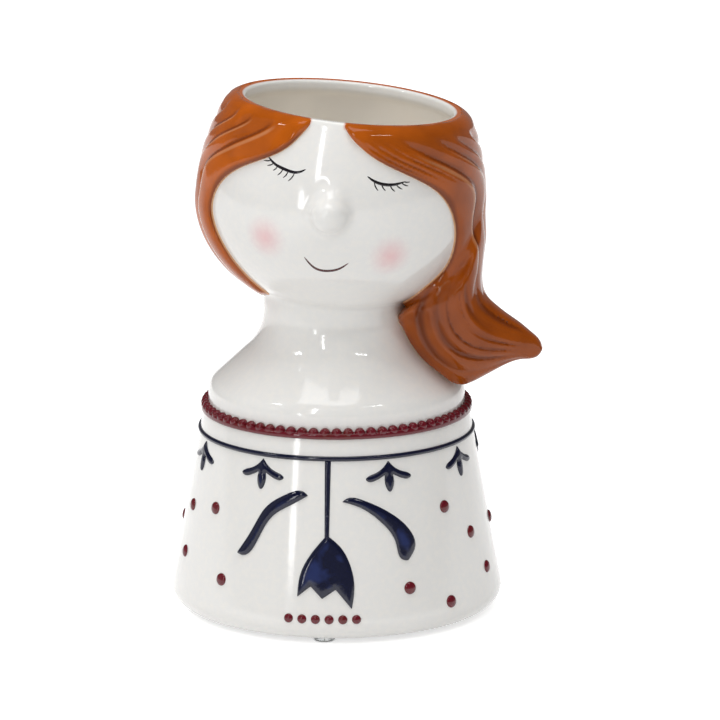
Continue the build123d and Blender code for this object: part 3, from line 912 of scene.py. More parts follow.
def casting_rings(bust):
    """Rings of points over the whole casting, with marks for the inside and the painted rim."""
    columns = 288
    even = np.linspace(-math.pi, math.pi, columns, endpoint=False)
    turns = even - 0.5 * np.sin(even)
    sin, cos = np.sin(turns), np.cos(turns)
    skin_radius = bust.neckline_radius - bust.neckline_ledge
    shoulder = bust.neckline_height + bust.shoulder_rise
    neck = bust.neckline_height + bust.neck_rise
    pivot_x, pivot_z = pivot(bust)
    neck_end, lean_end = pivot_z - 5.5, pivot_z + 18
    rings, inside, rim = [], [], []

    def add(points, is_in, on_rim=0.0):
        rings.append(points)
        inside.append(np.full(columns, float(is_in)))
        rim.append(np.broadcast_to(on_rim, columns))

    def reach_of(along):
        return first_crossing(along, np.full(columns, 5.0), np.full(columns, bust.head_radius * 1.5))

    def upright(profile, is_in):
        for r, z in profile:
            add(np.stack([r * sin, -r * cos, np.full(columns, z)], axis=1), is_in)

    def leaning(z, field, is_in):
        share = smooth_step(neck_end, lean_end, z)
        tilt = share * bust.head_lean
        start_x = share * (pivot_x + (z - pivot_z) * math.tan(bust.head_lean))
        way = np.stack([sin * math.cos(tilt), -cos, -sin * math.sin(tilt)])

        def along(reach):
            return field(bust, start_x + way[0] * reach, way[1] * reach, z + way[2] * reach)

        reach = reach_of(along)
        add(np.stack([start_x + way[0] * reach, way[1] * reach, z + way[2] * reach], axis=1), is_in)

    def level(h, field, is_in):
        def along(reach):
            return field(bust, *np.moveaxis(from_head(bust, reach * sin, -reach * cos, h), -1, 0))

        reach = reach_of(along)
        add(from_head(bust, reach * sin, -reach * cos, h), is_in)

    recess_radius = bust.base_radius - bust.base_edge - bust.foot_ring
    outside = rounded_line([
        (0.5, bust.stand_height + bust.recess), (recess_radius, bust.stand_height + bust.recess, 0.8),
        (recess_radius, bust.stand_height, 0.4), (bust.base_radius, bust.stand_height, bust.base_edge),
        (bust.neckline_radius, bust.neckline_height, 0.5), (skin_radius, bust.neckline_height, 0.4),
        (skin_radius, shoulder, bust.shoulder_round), (bust.neck_radius, neck, bust.neck_sweep),
        (bust.neck_radius, neck_end),
    ], 2.6)
    upright(outside, 0)
    crease_end = lean_end - 8
    crease, jaw = np.arange(neck_end + 0.7, crease_end, 0.55), np.arange(crease_end, lean_end, 0.9)
    for z in np.concatenate([crease, jaw]):
        leaning(z, skin_field, 0)
    equator_start = (lean_end - pivot_z) / math.cos(bust.head_lean) - bust.equator_rise
    lip_start = bust.rim_rise - 1.6
    nose_low, nose_high = -4, 14
    cheeks, nose = np.arange(equator_start, nose_low, 1.1), np.arange(nose_low, nose_high, 0.8)
    for h in np.concatenate([cheeks, nose, np.arange(nose_high, lip_start, 1.1)]):
        level(h, skin_field, 0)
    rim_radius = bust.head_radius * math.sqrt(1 - (bust.rim_rise / bust.crown_rise) ** 2)
    mouth_radius = rim_radius - bust.lip
    low = bust.rim_rise - bust.lip_band
    bowl_top = low - 3
    bowl_rise = bust.crown_rise - bust.wall
    bowl_radius = (bust.head_radius - bust.wall) * math.sqrt(1 - (bowl_top / bowl_rise) ** 2)
    lip = rounded_line([
        (rim_radius + 0.9, lip_start + 0.4), (rim_radius, bust.rim_rise, 1.1),
        (mouth_radius, bust.rim_rise, 1.5), (mouth_radius, low, 3.0), (bowl_radius, bowl_top),
    ], 0.9)
    left, right = HAIRLINE_LEFT[0][0], HAIRLINE_RIGHT[0][0]
    for r, h in lip:
        off_parting = np.maximum(r * sin - right, left - r * sin)
        painted = np.maximum(smooth_step(0.6, 2.2, off_parting), cos < 0)
        painted = painted * smooth_step(mouth_radius + 0.8, mouth_radius + 1.5, r)
        painted = painted * smooth_step(low, bust.rim_rise - 0.8, h)
        is_in = smooth_step(low + 0.6, low - 2.4, h) * (r < rim_radius)
        add(from_head(bust, r * sin, -r * cos, h), is_in, painted)
    for h in np.arange(bowl_top - 1.2, equator_start, -1.7):
        level(h, inner_field, 1)
    for z in np.arange(lean_end, neck_end, -1.6):
        leaning(z, inner_field, 1)
    wall, drop = bust.wall, bust.wall * 0.44
    slack = wall / math.cos(flank_lean(bust))
    floor = bust.stand_height + bust.floor
    cavity = rounded_line([
        (bust.neck_radius - wall, neck_end - 0.6),
        (bust.neck_radius - wall, neck - drop, bust.neck_sweep + wall),
        (skin_radius - wall, shoulder - drop, bust.shoulder_round - wall),
        (skin_radius - wall, bust.neckline_height, 0.5),
        (bust.neckline_radius - slack, bust.neckline_height, 0.5),
        (flank(bust, floor) - slack, floor, 5.0), (0.5, floor),
    ], 4.5)
    upright(cavity, 1)
    return np.stack(rings), np.concatenate(inside), np.concatenate(rim)


def build_casting(bust, colours):
    """White casting: dress, shoulders, neck and head, open at the rim and hollow down to the floor."""
    rings, inside, rim = casting_rings(bust)
    amount, columns = rings.shape[:2]
    points = rings.reshape(-1, 3)
    faces = ring_faces(amount, columns)
    poles = [rings[0].mean(axis=0), rings[-1].mean(axis=0)]
    first, last = len(points), (amount - 1) * columns
    for column in range(columns):
        after = (column + 1) % columns
        faces.append((first, after, column))
        faces.append((first + 1, last + column, last + after))
    marks = {"inside": np.append(inside, [0, 1]), "rim_paint": np.append(rim, [0, 0])}
    new_piece("bust_casting_glazed", np.vstack([points, poles]), faces, white_glaze(bust, colours),
              "white_glaze", ["bust_casting"], marks)


def eased_share(upper, lower, outline):
    """Function that gives the share across the flick, 0 at its lower and 1 at its upper edge."""

    def share(u, v):
        above, below = line_distance(u, v, upper), line_distance(u, v, lower)
        total = np.maximum(above + below, 0.1)
        inside = is_inside(u, v, outline)
        beyond = np.where(above < below, 1 + above / total, -below / total)
        grid = np.where(inside, below / total, np.clip(beyond, -0.1, 1.1))
        held_edge, rounds = 2.0, 500
        loose = inside & (np.minimum(above, below) > held_edge)
        for _ in range(rounds):
            around = sum(np.roll(grid, way, axis=axis) for way in (1, -1) for axis in (0, 1)) / 4
            grid = np.where(loose, around, grid)
        return grid

    return share


def hair_form(bust, hair):
    """Hair as a distance field, with the marks of its locks and the gap to the skin."""
    left = smooth_line(HAIRLINE_LEFT, 60)
    right = smooth_line(HAIRLINE_RIGHT, 60)
    high, low = bust.rim_rise * 2, -bust.jaw_drop * 2
    under = -bust.jaw_drop - 2
    chin_left, chin_right = -20, 25.5
    chin = [
        (chin_left, under), (chin_left, low), (chin_right, low), (chin_right, under),
        (chin_right + 0.5, under + 5),
    ]
    opening = np.vstack([[(left[0, 0], high)], left, chin, right[::-1], [(right[0, 0], high)]])
    reach = bust.head_radius + 12
    face = table_of(lambda u, v: outline_distance(u, v, opening), (-reach, low), (reach, high), 0.6)
    upper = smooth_line(FLICK_UPPER, 70)
    lower = smooth_line(FLICK_LOWER, 110)
    outline = np.vstack([upper, lower[::-1]])
    tip = np.array(FLICK_UPPER[0])
    along_flick = [
        smooth_line(list(zip(FLICK_REACH, row)), 120) for row in (FLICK_DEPTH, FLICK_MIDDLE, FLICK_BLEND)
    ]
    room = (-10, 84), (102, 186)
    upper_gap = table_of(lambda u, v: line_distance(u, v, upper), *room, 0.5)
    lower_gap = table_of(lambda u, v: line_distance(u, v, lower), *room, 0.5)
    outer_gap = table_of(lambda u, v: outline_distance(u, v, outline), *room, 0.5)
    flick_share = table_of(eased_share(upper, lower, outline), *room, 1.0)
    skin_radius = bust.neckline_radius - bust.neckline_ledge
    shoulder = bust.neckline_height + bust.shoulder_rise
    neck_top = bust.neckline_height + bust.pivot_rise + 30
    torso_line = rounded_line([
        (0, 0), (bust.base_radius, 0, 0.1), (bust.neckline_radius, bust.neckline_height, 0.1),
        (skin_radius, bust.neckline_height, 0.1), (skin_radius, shoulder, bust.shoulder_round),
        (bust.neck_radius, bust.neckline_height + bust.neck_rise, bust.neck_sweep),
        (bust.neck_radius, neck_top, 0.1), (0, neck_top),
    ], 1.5)
    torso = table_of(lambda u, v: outline_distance(u, v, torso_line), (0, 60), (100, 190), 0.6)

    def hairline_gap(across, back, up):
        """Distance from the hairline over the skin, below zero on the face."""
        out = np.maximum(np.hypot(across, back), 1)
        flat = face(across * np.clip(head_ring(bust, up) / out, 0.9, 1.1), up)
        facing = np.maximum(-back / out, 0.35)
        near, far = 12, 40.0
        return np.where(back < 0, flat / np.where(np.abs(flat) < near, np.sqrt(facing), 1), far)

    def flick(x, y, z):
        """Flick's own field, the share across it, the place through it and the distance from its tip."""
        half = np.maximum((upper_gap(x, z) + lower_gap(x, z)) / 2, 0.6)
        share, out = flick_share(x, z), outer_gap(x, z)
        reach = np.where(out > 0, 1 + out / half, np.minimum(np.abs(2 * share - 1), 1))
        distance = np.hypot(x - tip[0], z - tip[1])
        depth, middle, scale = (np.interp(distance, *line.T) for line in along_flick)
        off = (y - middle) / depth
        form = (np.sqrt(reach ** 2 + off ** 2) - 1) * scale
        share = np.clip(share, 0, 1)
        start, end = (low + (high - low) * share for low, high in zip(FLICK_END_LOWER, FLICK_END_UPPER))
        return form + FLICK_PUSH * smooth_step(start, end, z), share, off, distance

    def strands(x, y, z):
        """Shares across the head and the flick, and how strongly each kind of lock shows."""
        across, back, up = to_head(bust, x, y, z)
        turn = np.arctan2(across, -back)
        sweep = hair.back_sweep * smooth_step(bust.rim_rise * 0.6, -bust.jaw_drop, up)
        turn = np.where(turn > math.pi - sweep, turn - FULL_TURN, turn)
        heights = np.clip(up, -36, bust.rim_rise)
        start_right = np.interp(heights, right[::-1, 1], right[::-1, 0])
        start_left = -np.interp(heights, left[::-1, 1], left[::-1, 0])
        is_right = turn > 0
        beside = np.where(is_right, start_right, start_left) / head_ring(bust, heights)
        start = np.arcsin(np.clip(beside, -0.98, 0.98))
        end = np.where(is_right, math.pi - sweep, math.pi + sweep)
        share = np.clip((np.abs(turn) - start) / (end - start), 0, 1)
        # The locks swing out below the rim and come back at the ears
        swing = smooth_step(38, 25, up) * smooth_step(2, 18, up)
        share = share ** (1 + 0.22 * swing - 0.1 * smooth_step(14, 0, up))
        _, across_flick, off, distance = flick(x, y, z)
        edge = LOCKS_FINE[len(FLICK_LOCKS) - 1]
        front = np.interp(across_flick, FLICK_LOCKS, LOCKS_FINE[:len(FLICK_LOCKS)])
        tail = np.where(off < 0, front, edge + (1 - across_flick) * (1 - edge))
        in_tail = smooth_step(154, 130, z) * smooth_step(10, 26, x)
        uneven = 0.6 + 0.4 * np.sin(distance / 10 + np.round(across_flick * 6) * 2.4)
        near_parting = 0.8 * smooth_step(18, 28, up) * is_right
        return SimpleNamespace(
            head=share, tail=tail, is_right=is_right, in_tail=in_tail,
            fine_head=near_parting * (1 - in_tail),
            fine_tail=in_tail * uneven * smooth_step(5, 18, distance),
        )

    def place_among(share, partings):
        """Number of the lock at a share, with the place across it as the fraction."""
        return np.interp(share, partings, np.arange(len(partings)))

    def lock_marks(locks, top, width):
        """Height across a lock, with a slow rise to a crest and a steep fall, and its groove and crest."""
        part = locks - np.floor(locks)
        rise = np.sin(math.pi / 2 * np.clip(part / top, 0, 1))
        height = rise * (1 - smooth_step(top, 1.0, part))
        groove = np.maximum(np.exp(-((1 - part) / width) ** 2), np.exp(-(part / width) ** 2))
        return np.stack([height, groove, np.exp(-((part - top) / width) ** 2)])

    def locks(x, y, z):
        """Depth below the smooth form, groove mark and crest mark."""
        at = strands(x, y, z)
        up = to_head(bust, x, y, z)[2]
        start = bust.rim_rise - np.where(at.is_right, 3.5, 0.5)
        fade = smooth_step(start, start - 6, up)
        paint = smooth_step(start, start - np.where(at.is_right, 14, 8), up)
        wide = np.where(at.is_right, place_among(at.head, LOCKS_RIGHT), place_among(at.head, LOCKS_LEFT))
        wide_depth = hair.lock_depth * (0.85 + 0.2 * np.sin(np.round(wide) * 1.7 + 0.6))
        height, groove, crest = lock_marks(wide, CREST, 0.11)
        depth = wide_depth * (1 - height) * (1 - at.in_tail)
        groove, crest = groove * (1 - at.in_tail), crest * (1 - at.in_tail)
        for share, strength in ((at.head, at.fine_head), (at.tail, at.fine_tail)):
            height, dip, ridge = lock_marks(place_among(share, LOCKS_FINE), FINE_CREST, 0.28)
            depth = depth + hair.fine_depth * (1 - height) * strength
            groove = np.maximum(groove, dip * strength)
            crest = np.maximum(crest, 0.2 * ridge * strength)
        return depth * fade, groove * paint, crest * paint

    def skin_gap(x, y, z):
        """Distance from the skin of head and torso."""
        return np.minimum(head_field(bust, *to_head(bust, x, y, z)), torso(np.hypot(x, y), z))

    def field(x, y, z):
        """Distance from the hair: cap and flick with their locks, cut by rim, face, skin and torso."""
        across, back, up = to_head(bust, x, y, z)
        jaw = hair.jaw + hair.jaw_fall * smooth_step(4, 30, across) * smooth_step(12, -6, back)
        cap = egg_field(across, back, up, bust.head_radius + hair.thickness, bust.crown_rise + hair.crown,
                        bust.jaw_drop + jaw)
        gap = hairline_gap(across, back, up)
        inward = np.maximum(gap, 0)
        by_face = cap + hair.face_taper - 1.2 * inward - 0.12 * inward ** 2
        by_face = by_face - 30 * smooth_step(-35, -43, up)
        tail = smooth_max(flick(x, y, z)[0], by_face, 5)
        form = smooth_min(cap, tail, hair.join_blend) + locks(x, y, z)[0]
        form = smooth_max(form, up - bust.rim_rise - hair.rim_lift, hair.rim_blend)
        form = smooth_max(form, -gap, hair.edge_blend)
        form = np.maximum(form, -head_field(bust, across, back, up) - hair.seat)
        return np.maximum(form, -torso(np.hypot(x, y), z) - 0.3)

    return SimpleNamespace(field=field, locks=locks, skin_gap=skin_gap)


def build_hair(bust, hair, colours):
    """Hair with its locks, the parting over the face and the flick over the shoulder."""
    form = hair_form(bust, hair)
    low, high = (np.array(corner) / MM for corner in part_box("hair"))
    room = hair.grain * 3
    points, faces = net_surface(form.field, low - room, high + room, hair.grain)
    points = settle_on(form.field, points, faces, 3)
    up = to_head(bust, *points.T)[2]
    _, pool, crest = form.locks(*points.T)
    edge = np.exp(-(np.maximum(form.skin_gap(*points.T), 0) / 0.9) ** 2)
    edge *= smooth_step(bust.rim_rise - 1.5, bust.rim_rise - 4, up)
    marks = {"pool": pool, "crest": crest, "edge": edge}
    new_piece("hair_glazed", points, faces.tolist(), hair_glaze(colours), "hair_glaze", ["hair"], marks)


def stroke(bust, line, width, proud):
    """Points and faces of a brush stroke on the face, thin at its ends."""
    path = smooth_line(line, 40)
    tangent = np.gradient(path, axis=0)
    tangent /= np.linalg.norm(tangent, axis=1, keepdims=True)
    side = np.stack([-tangent[:, 1], tangent[:, 0]], axis=1)
    along = np.linspace(0, 1, len(path))
    half = width / 2 * np.sqrt(np.maximum(1 - (2 * along - 1) ** 2, 0.0)) ** 1.1 + 0.04
    shares = np.array([-1, -0.5, 0, 0.5, 1])
    across, loop = len(shares), len(shares) * 2
    flat = path[:, None, :] + side[:, None, :] * (half[:, None] * shares)[:, :, None]
    skin = face_points(bust, flat[..., 0].ravel(), flat[..., 1].ravel())
    away = slope(lambda *place: skin_field(bust, *place), skin, 0.05)
    away /= np.linalg.norm(away, axis=1, keepdims=True)
    lift = np.tile(proud * (1 - shares ** 2) - 0.02, len(path))
    top = (skin + away * lift[:, None]).reshape(len(path), across, 3)
    under = (skin - away * proud).reshape(len(path), across, 3)[:, ::-1]
    loops = np.concatenate([top, under], axis=1)
    faces = ring_faces(len(path), loop)
    faces.append(tuple(reversed(range(loop))))
    faces.append(tuple(range((len(path) - 1) * loop, len(path) * loop)))
    return loops.reshape(-1, 3), faces


def joined(shapes):
    """Several sets of points and faces as one."""
    points, faces = [], []
    offset = 0
    for shape_points, shape_faces in shapes:
        points.append(shape_points)
        faces.extend(tuple(corner + offset for corner in face) for face in shape_faces)
        offset += len(shape_points)
    return np.vstack(points), faces


def build_face(bust, colours):
    """Painted face: two closed eyes with lashes, and the mouth."""
    ink = brush_glaze("eye_ink", colours.ink, colours.navy, 300.0, 0.4)
    lid_width, lash_width, mouth_width, lash_bend = 1.35, 0.5, 1.15, 0.08
    for name, eye, lashes in (("eye_left", EYE_LEFT, LASHES_LEFT), ("eye_right", EYE_RIGHT, LASHES_RIGHT)):
        strokes = [stroke(bust, eye, lid_width, 0.12)]
        for root, end in np.array(lashes):
            bend = np.array([end[1] - root[1], root[0] - end[0]]) * np.sign(end[0] - root[0]) * lash_bend
            strokes.append(stroke(bust, [root, (root + end) / 2 + bend, end], lash_width, 0.1))
        new_piece(name, *joined(strokes), ink, "navy_glaze", [])
    lip_paint = brush_glaze("mouth_paint", colours.mouth, colours.red, 300.0, 0.5)
    new_piece("mouth_line", *stroke(bust, SMILE, mouth_width, 0.1), lip_paint, "red_glaze", [])


def tulip_outline(relief):
    """Outline of the hanging tulip with three pointed petals."""
    top = (relief.stem_shift, -relief.stem_length)
    left = smooth_line([top] + TULIP_LEFT, 40)
    right = smooth_line(TULIP_RIGHT + [top], 44)
    teeth = rounded_line([left[-1], *[(*tooth, 0.25) for tooth in TULIP_TEETH], right[0]], 0.6)
    return np.vstack([left[:-1], teeth, right[1:-1]])


def leaf_outline(over, under):
    """Outline of a leaf between its upper and its lower edge."""
    upper = smooth_line(over, 80)
    lower = smooth_line([over[-1]] + under, 80)
    return np.vstack([upper[:-1], lower[:-1]])


def blossom_outline():
    """Outline of three lobes that hang from one point."""
    left = smooth_line(PETAL_SIDE, 60)
    right = (left * [-1, 1])[::-1]
    middle = smooth_line([left[-1], *PETAL_MIDDLE, right[0]], 50)
    return np.vstack([left[:-1], middle[:-1], right[:-1]])


def relief_patch(bust, relief, outline, height):
    """Points, faces and rim mark of a rounded patch of relief on the dress."""
    spacing = 0.55
    closed = np.vstack([outline, outline[:1]])
    steps = np.linalg.norm(np.diff(closed, axis=0), axis=1)
    places = np.concatenate([[0], np.cumsum(steps)])
    amount = int(places[-1] / spacing)
    where = np.arange(amount) / amount * places[-1]
    border = np.stack([np.interp(where, places, closed[:, axis]) for axis in range(2)], axis=1)
    low, high = border.min(axis=0), border.max(axis=0)
    across, upward = np.meshgrid(*(np.arange(low[axis], high[axis], spacing) for axis in range(2)))
    inner = [np.stack([across.ravel(), upward.ravel()], axis=1)]
    limits = [spacing * 1.6]
    tangent = np.roll(border, -1, axis=0) - np.roll(border, 1, axis=0)
    tangent /= np.linalg.norm(tangent, axis=1, keepdims=True)
    normal = np.stack([-tangent[:, 1], tangent[:, 0]], axis=1)
    for offset in (0.14, 0.4):
        for sign in (1, -1):
            inner.append(border + normal * offset * sign)
            limits.append(offset * 0.85)
    kept = []
    for points, limit in zip(inner, limits):
        kept.append(points[outline_distance(points[:, 0], points[:, 1], border) < -limit])
    flat = np.vstack([border, *kept])
    edges = [(k, (k + 1) % amount) for k in range(amount)]
    made = delaunay_2d_cdt([Vector(point) for point in flat], edges, [], 1, 1e-5)
    flat = np.array([tuple(point) for point in made[0]])
    triangles = np.array(made[2])
    gap = np.maximum(-outline_distance(flat[:, 0], flat[:, 1], border), 0)
    share = np.clip(gap / relief.edge, 0, 1)
    crown, sunk, deep = 0.14, 0.1, 0.5
    dome = 1 - crown + crown * smooth_step(0, relief.edge * 2.5, gap)
    lift = height * np.sqrt(1 - (1 - share) ** 2) * dome - sunk
    stripe = bust.neckline_height - relief.stripe_drop
    z = flat[:, 1] + stripe

    def on_dress(offset):
        radius = flank(bust, z) + offset
        return np.stack([flat[:, 0], -np.sqrt(radius ** 2 - flat[:, 0] ** 2), z], axis=1)

    top, under = on_dress(lift), on_dress(np.full(len(flat), -deep))
    a, b, c = (flat[triangles[:, corner]] for corner in range(3))
    area = (b[:, 0] - a[:, 0]) * (c[:, 1] - a[:, 1]) - (b[:, 1] - a[:, 1]) * (c[:, 0] - a[:, 0])
    triangles = np.where((area > 0)[:, None], triangles, triangles[:, ::-1])
    sides = np.vstack([triangles[:, [k, (k + 1) % 3]] for k in range(3)])
    known = {(a, b) for a, b in sides.tolist()}
    rim = [(a, b) for a, b in known if (b, a) not in known]
    offset = len(flat)
    faces = triangles.tolist()
    faces += (triangles[:, ::-1] + offset).tolist()
    faces += [(b, a, a + offset, b + offset) for a, b in sorted(rim)]
    return np.vstack([top, under]), faces, np.concatenate([gap, gap])


def build_flowers(bust, relief, colours):
    """Navy relief: the tulip with its stem and leaves, the blossoms and the stripe."""
    navy = navy_glaze(colours)

    def patch(name, outline, height, nodes, **repeat):
        points, faces, gap = relief_patch(bust, relief, outline, height)
        new_piece(name, points, faces, navy, "navy_glaze", nodes, {"middle": gap}, **repeat)

    patch("tulip_head_glazed", tulip_outline(relief), relief.height, ["tulip_head"])
    half = relief.stem_width / 2
    top, end = -relief.stripe_radius * 0.5, -relief.stem_length - 2.0
    middle = relief.stem_shift
    stem = rounded_line([
        (middle, top), (middle + half, top, 0.6), (middle + half * 0.75, end, 0.3),
        (middle - half * 0.75, end, 0.3), (middle - half, top, 0.6), (middle - 0.1, top),
    ], 0.6)
    patch("tulip_stem_glazed", stem, relief.height * 0.8, ["tulip_stem"])
    for name, edges in LEAVES.items():
        patch(f"{name}_glazed", leaf_outline(*edges), relief.height, [name])
    shift = np.array([0, -relief.blossom_drop])
    nodes = [f"blossom_{number + 1}" for number in range(relief.blossoms)]
    step = (FULL_TURN - 2 * relief.blossom_first) / (relief.blossoms - 1)
    patch("blossoms_glazed", blossom_outline() + shift, relief.height, nodes, tree=ring_tree(), inputs={
        "Count": relief.blossoms, "First": relief.blossom_first, "Step": step,
    })
    stripe = bust.neckline_height - relief.stripe_drop
    turns = np.arange(24) / 24 * FULL_TURN
    thick = relief.stripe_radius
    loop = [(flank(bust, stripe) + thick * math.cos(a), stripe + thick * math.sin(a)) for a in turns]
    points, faces = revolved(loop, 240)
    new_piece("neckline_stripe_glazed", points, faces, navy, "navy_glaze", ["neckline_stripe"],
              {"middle": np.zeros(len(points))})


def dots_on_dress(bust, spots):
    """Places of dots on the dress, and their outward directions."""
    turns, heights = np.array(spots, float).T
    turns = np.radians(turns)
    ways = np.stack([np.sin(turns), -np.cos(turns)], axis=1)
    lean = flank_lean(bust)
    places = np.column_stack([ways * flank(bust, heights)[:, None], heights])
    return places, np.column_stack([ways * math.cos(lean), np.full(len(ways), math.sin(lean))])


def build_beads(bust, relief, colours):
    """Dark red relief: the beads at the neckline, the scattered dots and the row at the hem."""
    red = brush_glaze("red_glaze", colours.red, colours.chestnut, 160.0, 0.35)
    skin_radius = bust.neckline_radius - bust.neckline_ledge
    low, high = bust.neckline_height - 0.7, bust.neckline_height + relief.strip_height
    strip = rounded_line([
        (skin_radius - 0.3, low), (bust.neckline_radius + 1.3, low, 0.7),
        (bust.neckline_radius + 1.0, high, 0.8), (skin_radius - 0.3, high + 0.4),
    ], 0.6)
    inputs = {
        "Count": relief.beads, "Ring": (skin_radius + bust.neckline_radius) / 2 * MM,
        "Height": (bust.neckline_height + relief.bead_rise) * MM, "Bead": relief.bead_radius * MM,
    }
    new_piece("bead_trim_glazed", *revolved(strip, 216), red, "red_glaze", ["bead_trim"],
              tree=bead_tree(), inputs=inputs)
    first = -relief.hem_dot_pitch * (relief.hem_dots - 1) / 2
    turn = math.degrees(1 / flank(bust, relief.hem_dot_height))
    places = [first + relief.hem_dot_pitch * k for k in range(relief.hem_dots)]
    row = [(place * turn, relief.hem_dot_height) for place in places]
    tree = dot_tree()
    for name, spots, radius in (
        ("scatter_dots", DOT_SPOTS, relief.dot_radius), ("hem_dots", row, relief.hem_dot_radius),
    ):
        places, facing = dots_on_dress(bust, spots)
        new_piece(f"{name}_glazed", places, [], red, "red_glaze", [name], {"outward": facing}, tree,
                  {"Radius": radius * MM, "Height": relief.dot_proud * MM})


def build_bumpers(bust, relief, colours):
    """Three soft clear feet under the dress."""
    rubber = soft_rubber(colours)
    ring = bust.base_radius - bust.base_edge - relief.bumper_radius - relief.bumper_inset
    radius = relief.bumper_radius
    profile = rounded_line([
        (0.2, 0.0), (radius, 0.0, relief.bumper_edge),
        (radius, bust.stand_height, 0.2), (0.2, bust.stand_height),
    ], 0.5)
    points, faces = revolved(profile, 40)
    points = points - np.array([0, ring, 0])
    nodes = ["bumper_front", "bumper_rear_right", "bumper_rear_left"]
    inputs = {"Count": relief.bumpers, "First": 0.0, "Step": FULL_TURN / relief.bumpers}
    new_piece("bumpers_soft", points, faces, rubber, "bumper_rubber", nodes,
              tree=ring_tree(), inputs=inputs)


# Stage

def floor_finish():
    """Pale floor that the camera and reflections see as white, with the planter's shadow kept."""
    finish = bpy.data.materials.new("pale_floor")
    finish.use_nodes = True
    tree = finish.node_tree
    tree.nodes.clear()
    path = node(tree, "ShaderNodeLightPath").outputs
    clear = reckon(tree, "MAXIMUM", path["Is Camera Ray"], path["Is Transmission Ray"])
    seen = reckon(tree, "MAXIMUM", clear, path["Is Glossy Ray"])
    matte = node(tree, "ShaderNodeBsdfDiffuse", {"Color": (FLOOR_GREY, FLOOR_GREY, FLOOR_GREY, 1.0)})
    glow = node(tree, "ShaderNodeEmission",
                {"Color": WHITE, "Strength": reckon(tree, "MULTIPLY", seen, FLOOR_GLOW)})
    both = node(tree, "ShaderNodeAddShader", {0: matte.outputs[0], 1: glow.outputs[0]})
    node(tree, "ShaderNodeOutputMaterial", {"Surface": both.outputs[0]})
    return finish


def look_from(item, turn, reach, height, aim):
    """Puts an object at a turn from the front and a distance, facing a point."""
    item.location = (reach * math.sin(turn), -reach * math.cos(turn), height)
    item.rotation_euler = (aim - item.location).to_track_quat("-Z", "Y").to_euler()
    bpy.context.scene.collection.objects.link(item)


def softbox(name, turn, height, reach, width, tall, power):
    """Area lamp round the planter, at an angle from the front."""
    data = bpy.data.lights.new(name, "AREA")
    data.shape = "RECTANGLE"
    data.size = width
    data.size_y = tall
    data.energy = power
    look_from(bpy.data.objects.new(name, data), math.radians(turn), reach, height, LAMP_AIM)


def studio_world():
    """World that lights from above, is white to the camera and dim in reflections, where the lamps show."""
    world = bpy.data.worlds.new("studio")
    world.use_nodes = True
    tree = world.node_tree
    tree.nodes.clear()
    path = node(tree, "ShaderNodeLightPath").outputs
    way = node(tree, "ShaderNodeSeparateXYZ", {0: node(tree, "ShaderNodeTexCoord").outputs["Generated"]})
    lit = ramp(tree, way.outputs["Z"], 0.1, 0.95, 0.15, 0.74)
    mirrored = ramp(tree, way.outputs["Z"], 0.0, 0.5, 0.24, 0.08)
    clear = reckon(tree, "MAXIMUM", path["Is Camera Ray"], path["Is Transmission Ray"])
    unseen = node(tree, "ShaderNodeMix", {"Factor": path["Is Glossy Ray"], "A": lit, "B": mirrored})
    strength = node(tree, "ShaderNodeMix", {"Factor": clear, "A": unseen.outputs[0], "B": 1.0})
    back = node(tree, "ShaderNodeBackground", {"Color": WHITE, "Strength": strength.outputs[0]})
    node(tree, "ShaderNodeOutputWorld", {"Surface": back.outputs[0]})
    return world


def build_stage(stage):
    """Floor, soft lamps, world and the camera at the photographed angle."""
    scene = bpy.context.scene
    scene.view_settings.view_transform = "Standard"
    reach = stage.floor_reach * MM
    mesh = bpy.data.meshes.new("floor")
    corners = [(-reach, -reach, 0), (reach, -reach, 0), (reach, reach, 0), (-reach, reach, 0)]
    mesh.from_pydata(corners, [], [(0, 1, 2, 3)])
    mesh.materials.append(floor_finish())
    floor = bpy.data.objects.new("floor", mesh)
    scene.collection.objects.link(floor)
    scene.world = studio_world()
    for name, settings in LAMPS.items():
        softbox(name, *settings)
    data = bpy.data.cameras.new("camera")
    data.lens = stage.lens
    scene.camera = bpy.data.objects.new("camera", data)
    reach, height = stage.camera_reach * MM, stage.camera_height * MM
    look_from(scene.camera, stage.camera_turn, reach, height, Vector(stage.aim))


# Operators

class PlanterOperator:
    """What the planter's operators share."""

    bl_options = {"REGISTER", "UNDO"}

    def execute(self, context):
        self.build()
        return {"FINISHED"}


class BuildCasting(PlanterOperator, bpy.types.Operator):
    """Make the white casting"""

    bl_idname = "planter.casting"
    bl_label = "Casting"

    def build(self):
        build_casting(sizes("planter_bust"), sizes("planter_glaze"))


class BuildHair(PlanterOperator, bpy.types.Operator):
    """Make the hair with its flick"""

    bl_idname = "planter.hair"
    bl_label = "Hair"

    def build(self):
        build_hair(sizes("planter_bust"), sizes("planter_hair"), sizes("planter_glaze"))


class BuildFace(PlanterOperator, bpy.types.Operator):
    """Paint the eyes, the lashes and the mouth"""

    bl_idname = "planter.face"
    bl_label = "Painted face"

    def build(self):
        build_face(sizes("planter_bust"), sizes("planter_glaze"))


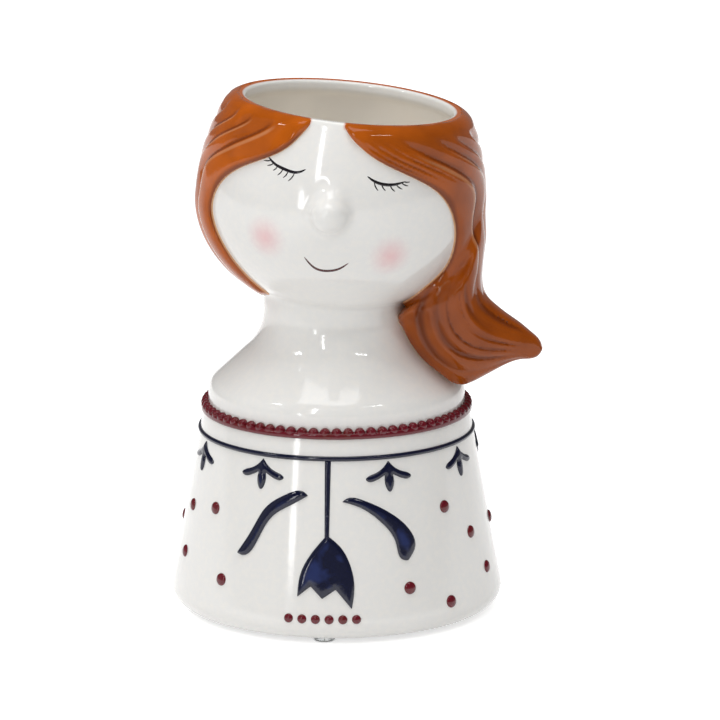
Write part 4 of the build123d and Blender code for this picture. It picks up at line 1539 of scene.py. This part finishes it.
class BuildFlowers(PlanterOperator, bpy.types.Operator):
    """Make the navy tulip, leaves, blossoms and stripe"""

    bl_idname = "planter.flowers"
    bl_label = "Flowers"

    def build(self):
        build_flowers(sizes("planter_bust"), sizes("planter_relief"), sizes("planter_glaze"))


class BuildBeads(PlanterOperator, bpy.types.Operator):
    """Make the dark red beads and dots"""

    bl_idname = "planter.beads"
    bl_label = "Beads and dots"

    def build(self):
        build_beads(sizes("planter_bust"), sizes("planter_relief"), sizes("planter_glaze"))


class BuildBumpers(PlanterOperator, bpy.types.Operator):
    """Make the soft feet"""

    bl_idname = "planter.bumpers"
    bl_label = "Bumpers"

    def build(self):
        build_bumpers(sizes("planter_bust"), sizes("planter_relief"), sizes("planter_glaze"))


class BuildStage(PlanterOperator, bpy.types.Operator):
    """Set up the floor, the light and the camera"""

    bl_idname = "planter.stage"
    bl_label = "Stage"

    def build(self):
        build_stage(sizes("planter_stage"))


OPERATORS = (BuildCasting, BuildHair, BuildFace, BuildFlowers, BuildBeads, BuildBumpers, BuildStage)


class PlanterPanel(bpy.types.Panel):
    """Sizes, colours and building steps of the planter"""

    bl_idname = "VIEW3D_PT_planter"
    bl_label = "Head Planter"
    bl_space_type = "VIEW_3D"
    bl_region_type = "UI"
    bl_category = "Planter"

    def draw(self, context):
        for operator in OPERATORS:
            self.layout.operator(operator.bl_idname)
        for name, group in GROUPS.items():
            box = self.layout.box()
            for key in group.__annotations__:
                box.prop(getattr(context.scene, name), key)


def register():
    for group in GROUPS.values():
        bpy.utils.register_class(group)
    for name, group in GROUPS.items():
        setattr(bpy.types.Scene, name, bpy.props.PointerProperty(type=group))
    for kind in (*OPERATORS, PlanterPanel):
        bpy.utils.register_class(kind)


def unregister():
    for kind in (PlanterPanel, *reversed(OPERATORS)):
        bpy.utils.unregister_class(kind)
    for name, group in reversed(GROUPS.items()):
        delattr(bpy.types.Scene, name)
        bpy.utils.unregister_class(group)


def main():
    """Builds the planter and its stage."""
    register()
    bpy.ops.planter.casting()
    bpy.ops.planter.hair()
    bpy.ops.planter.face()
    bpy.ops.planter.flowers()
    bpy.ops.planter.beads()
    bpy.ops.planter.bumpers()
    bpy.ops.planter.stage()


if __name__ == "__main__":
    main()
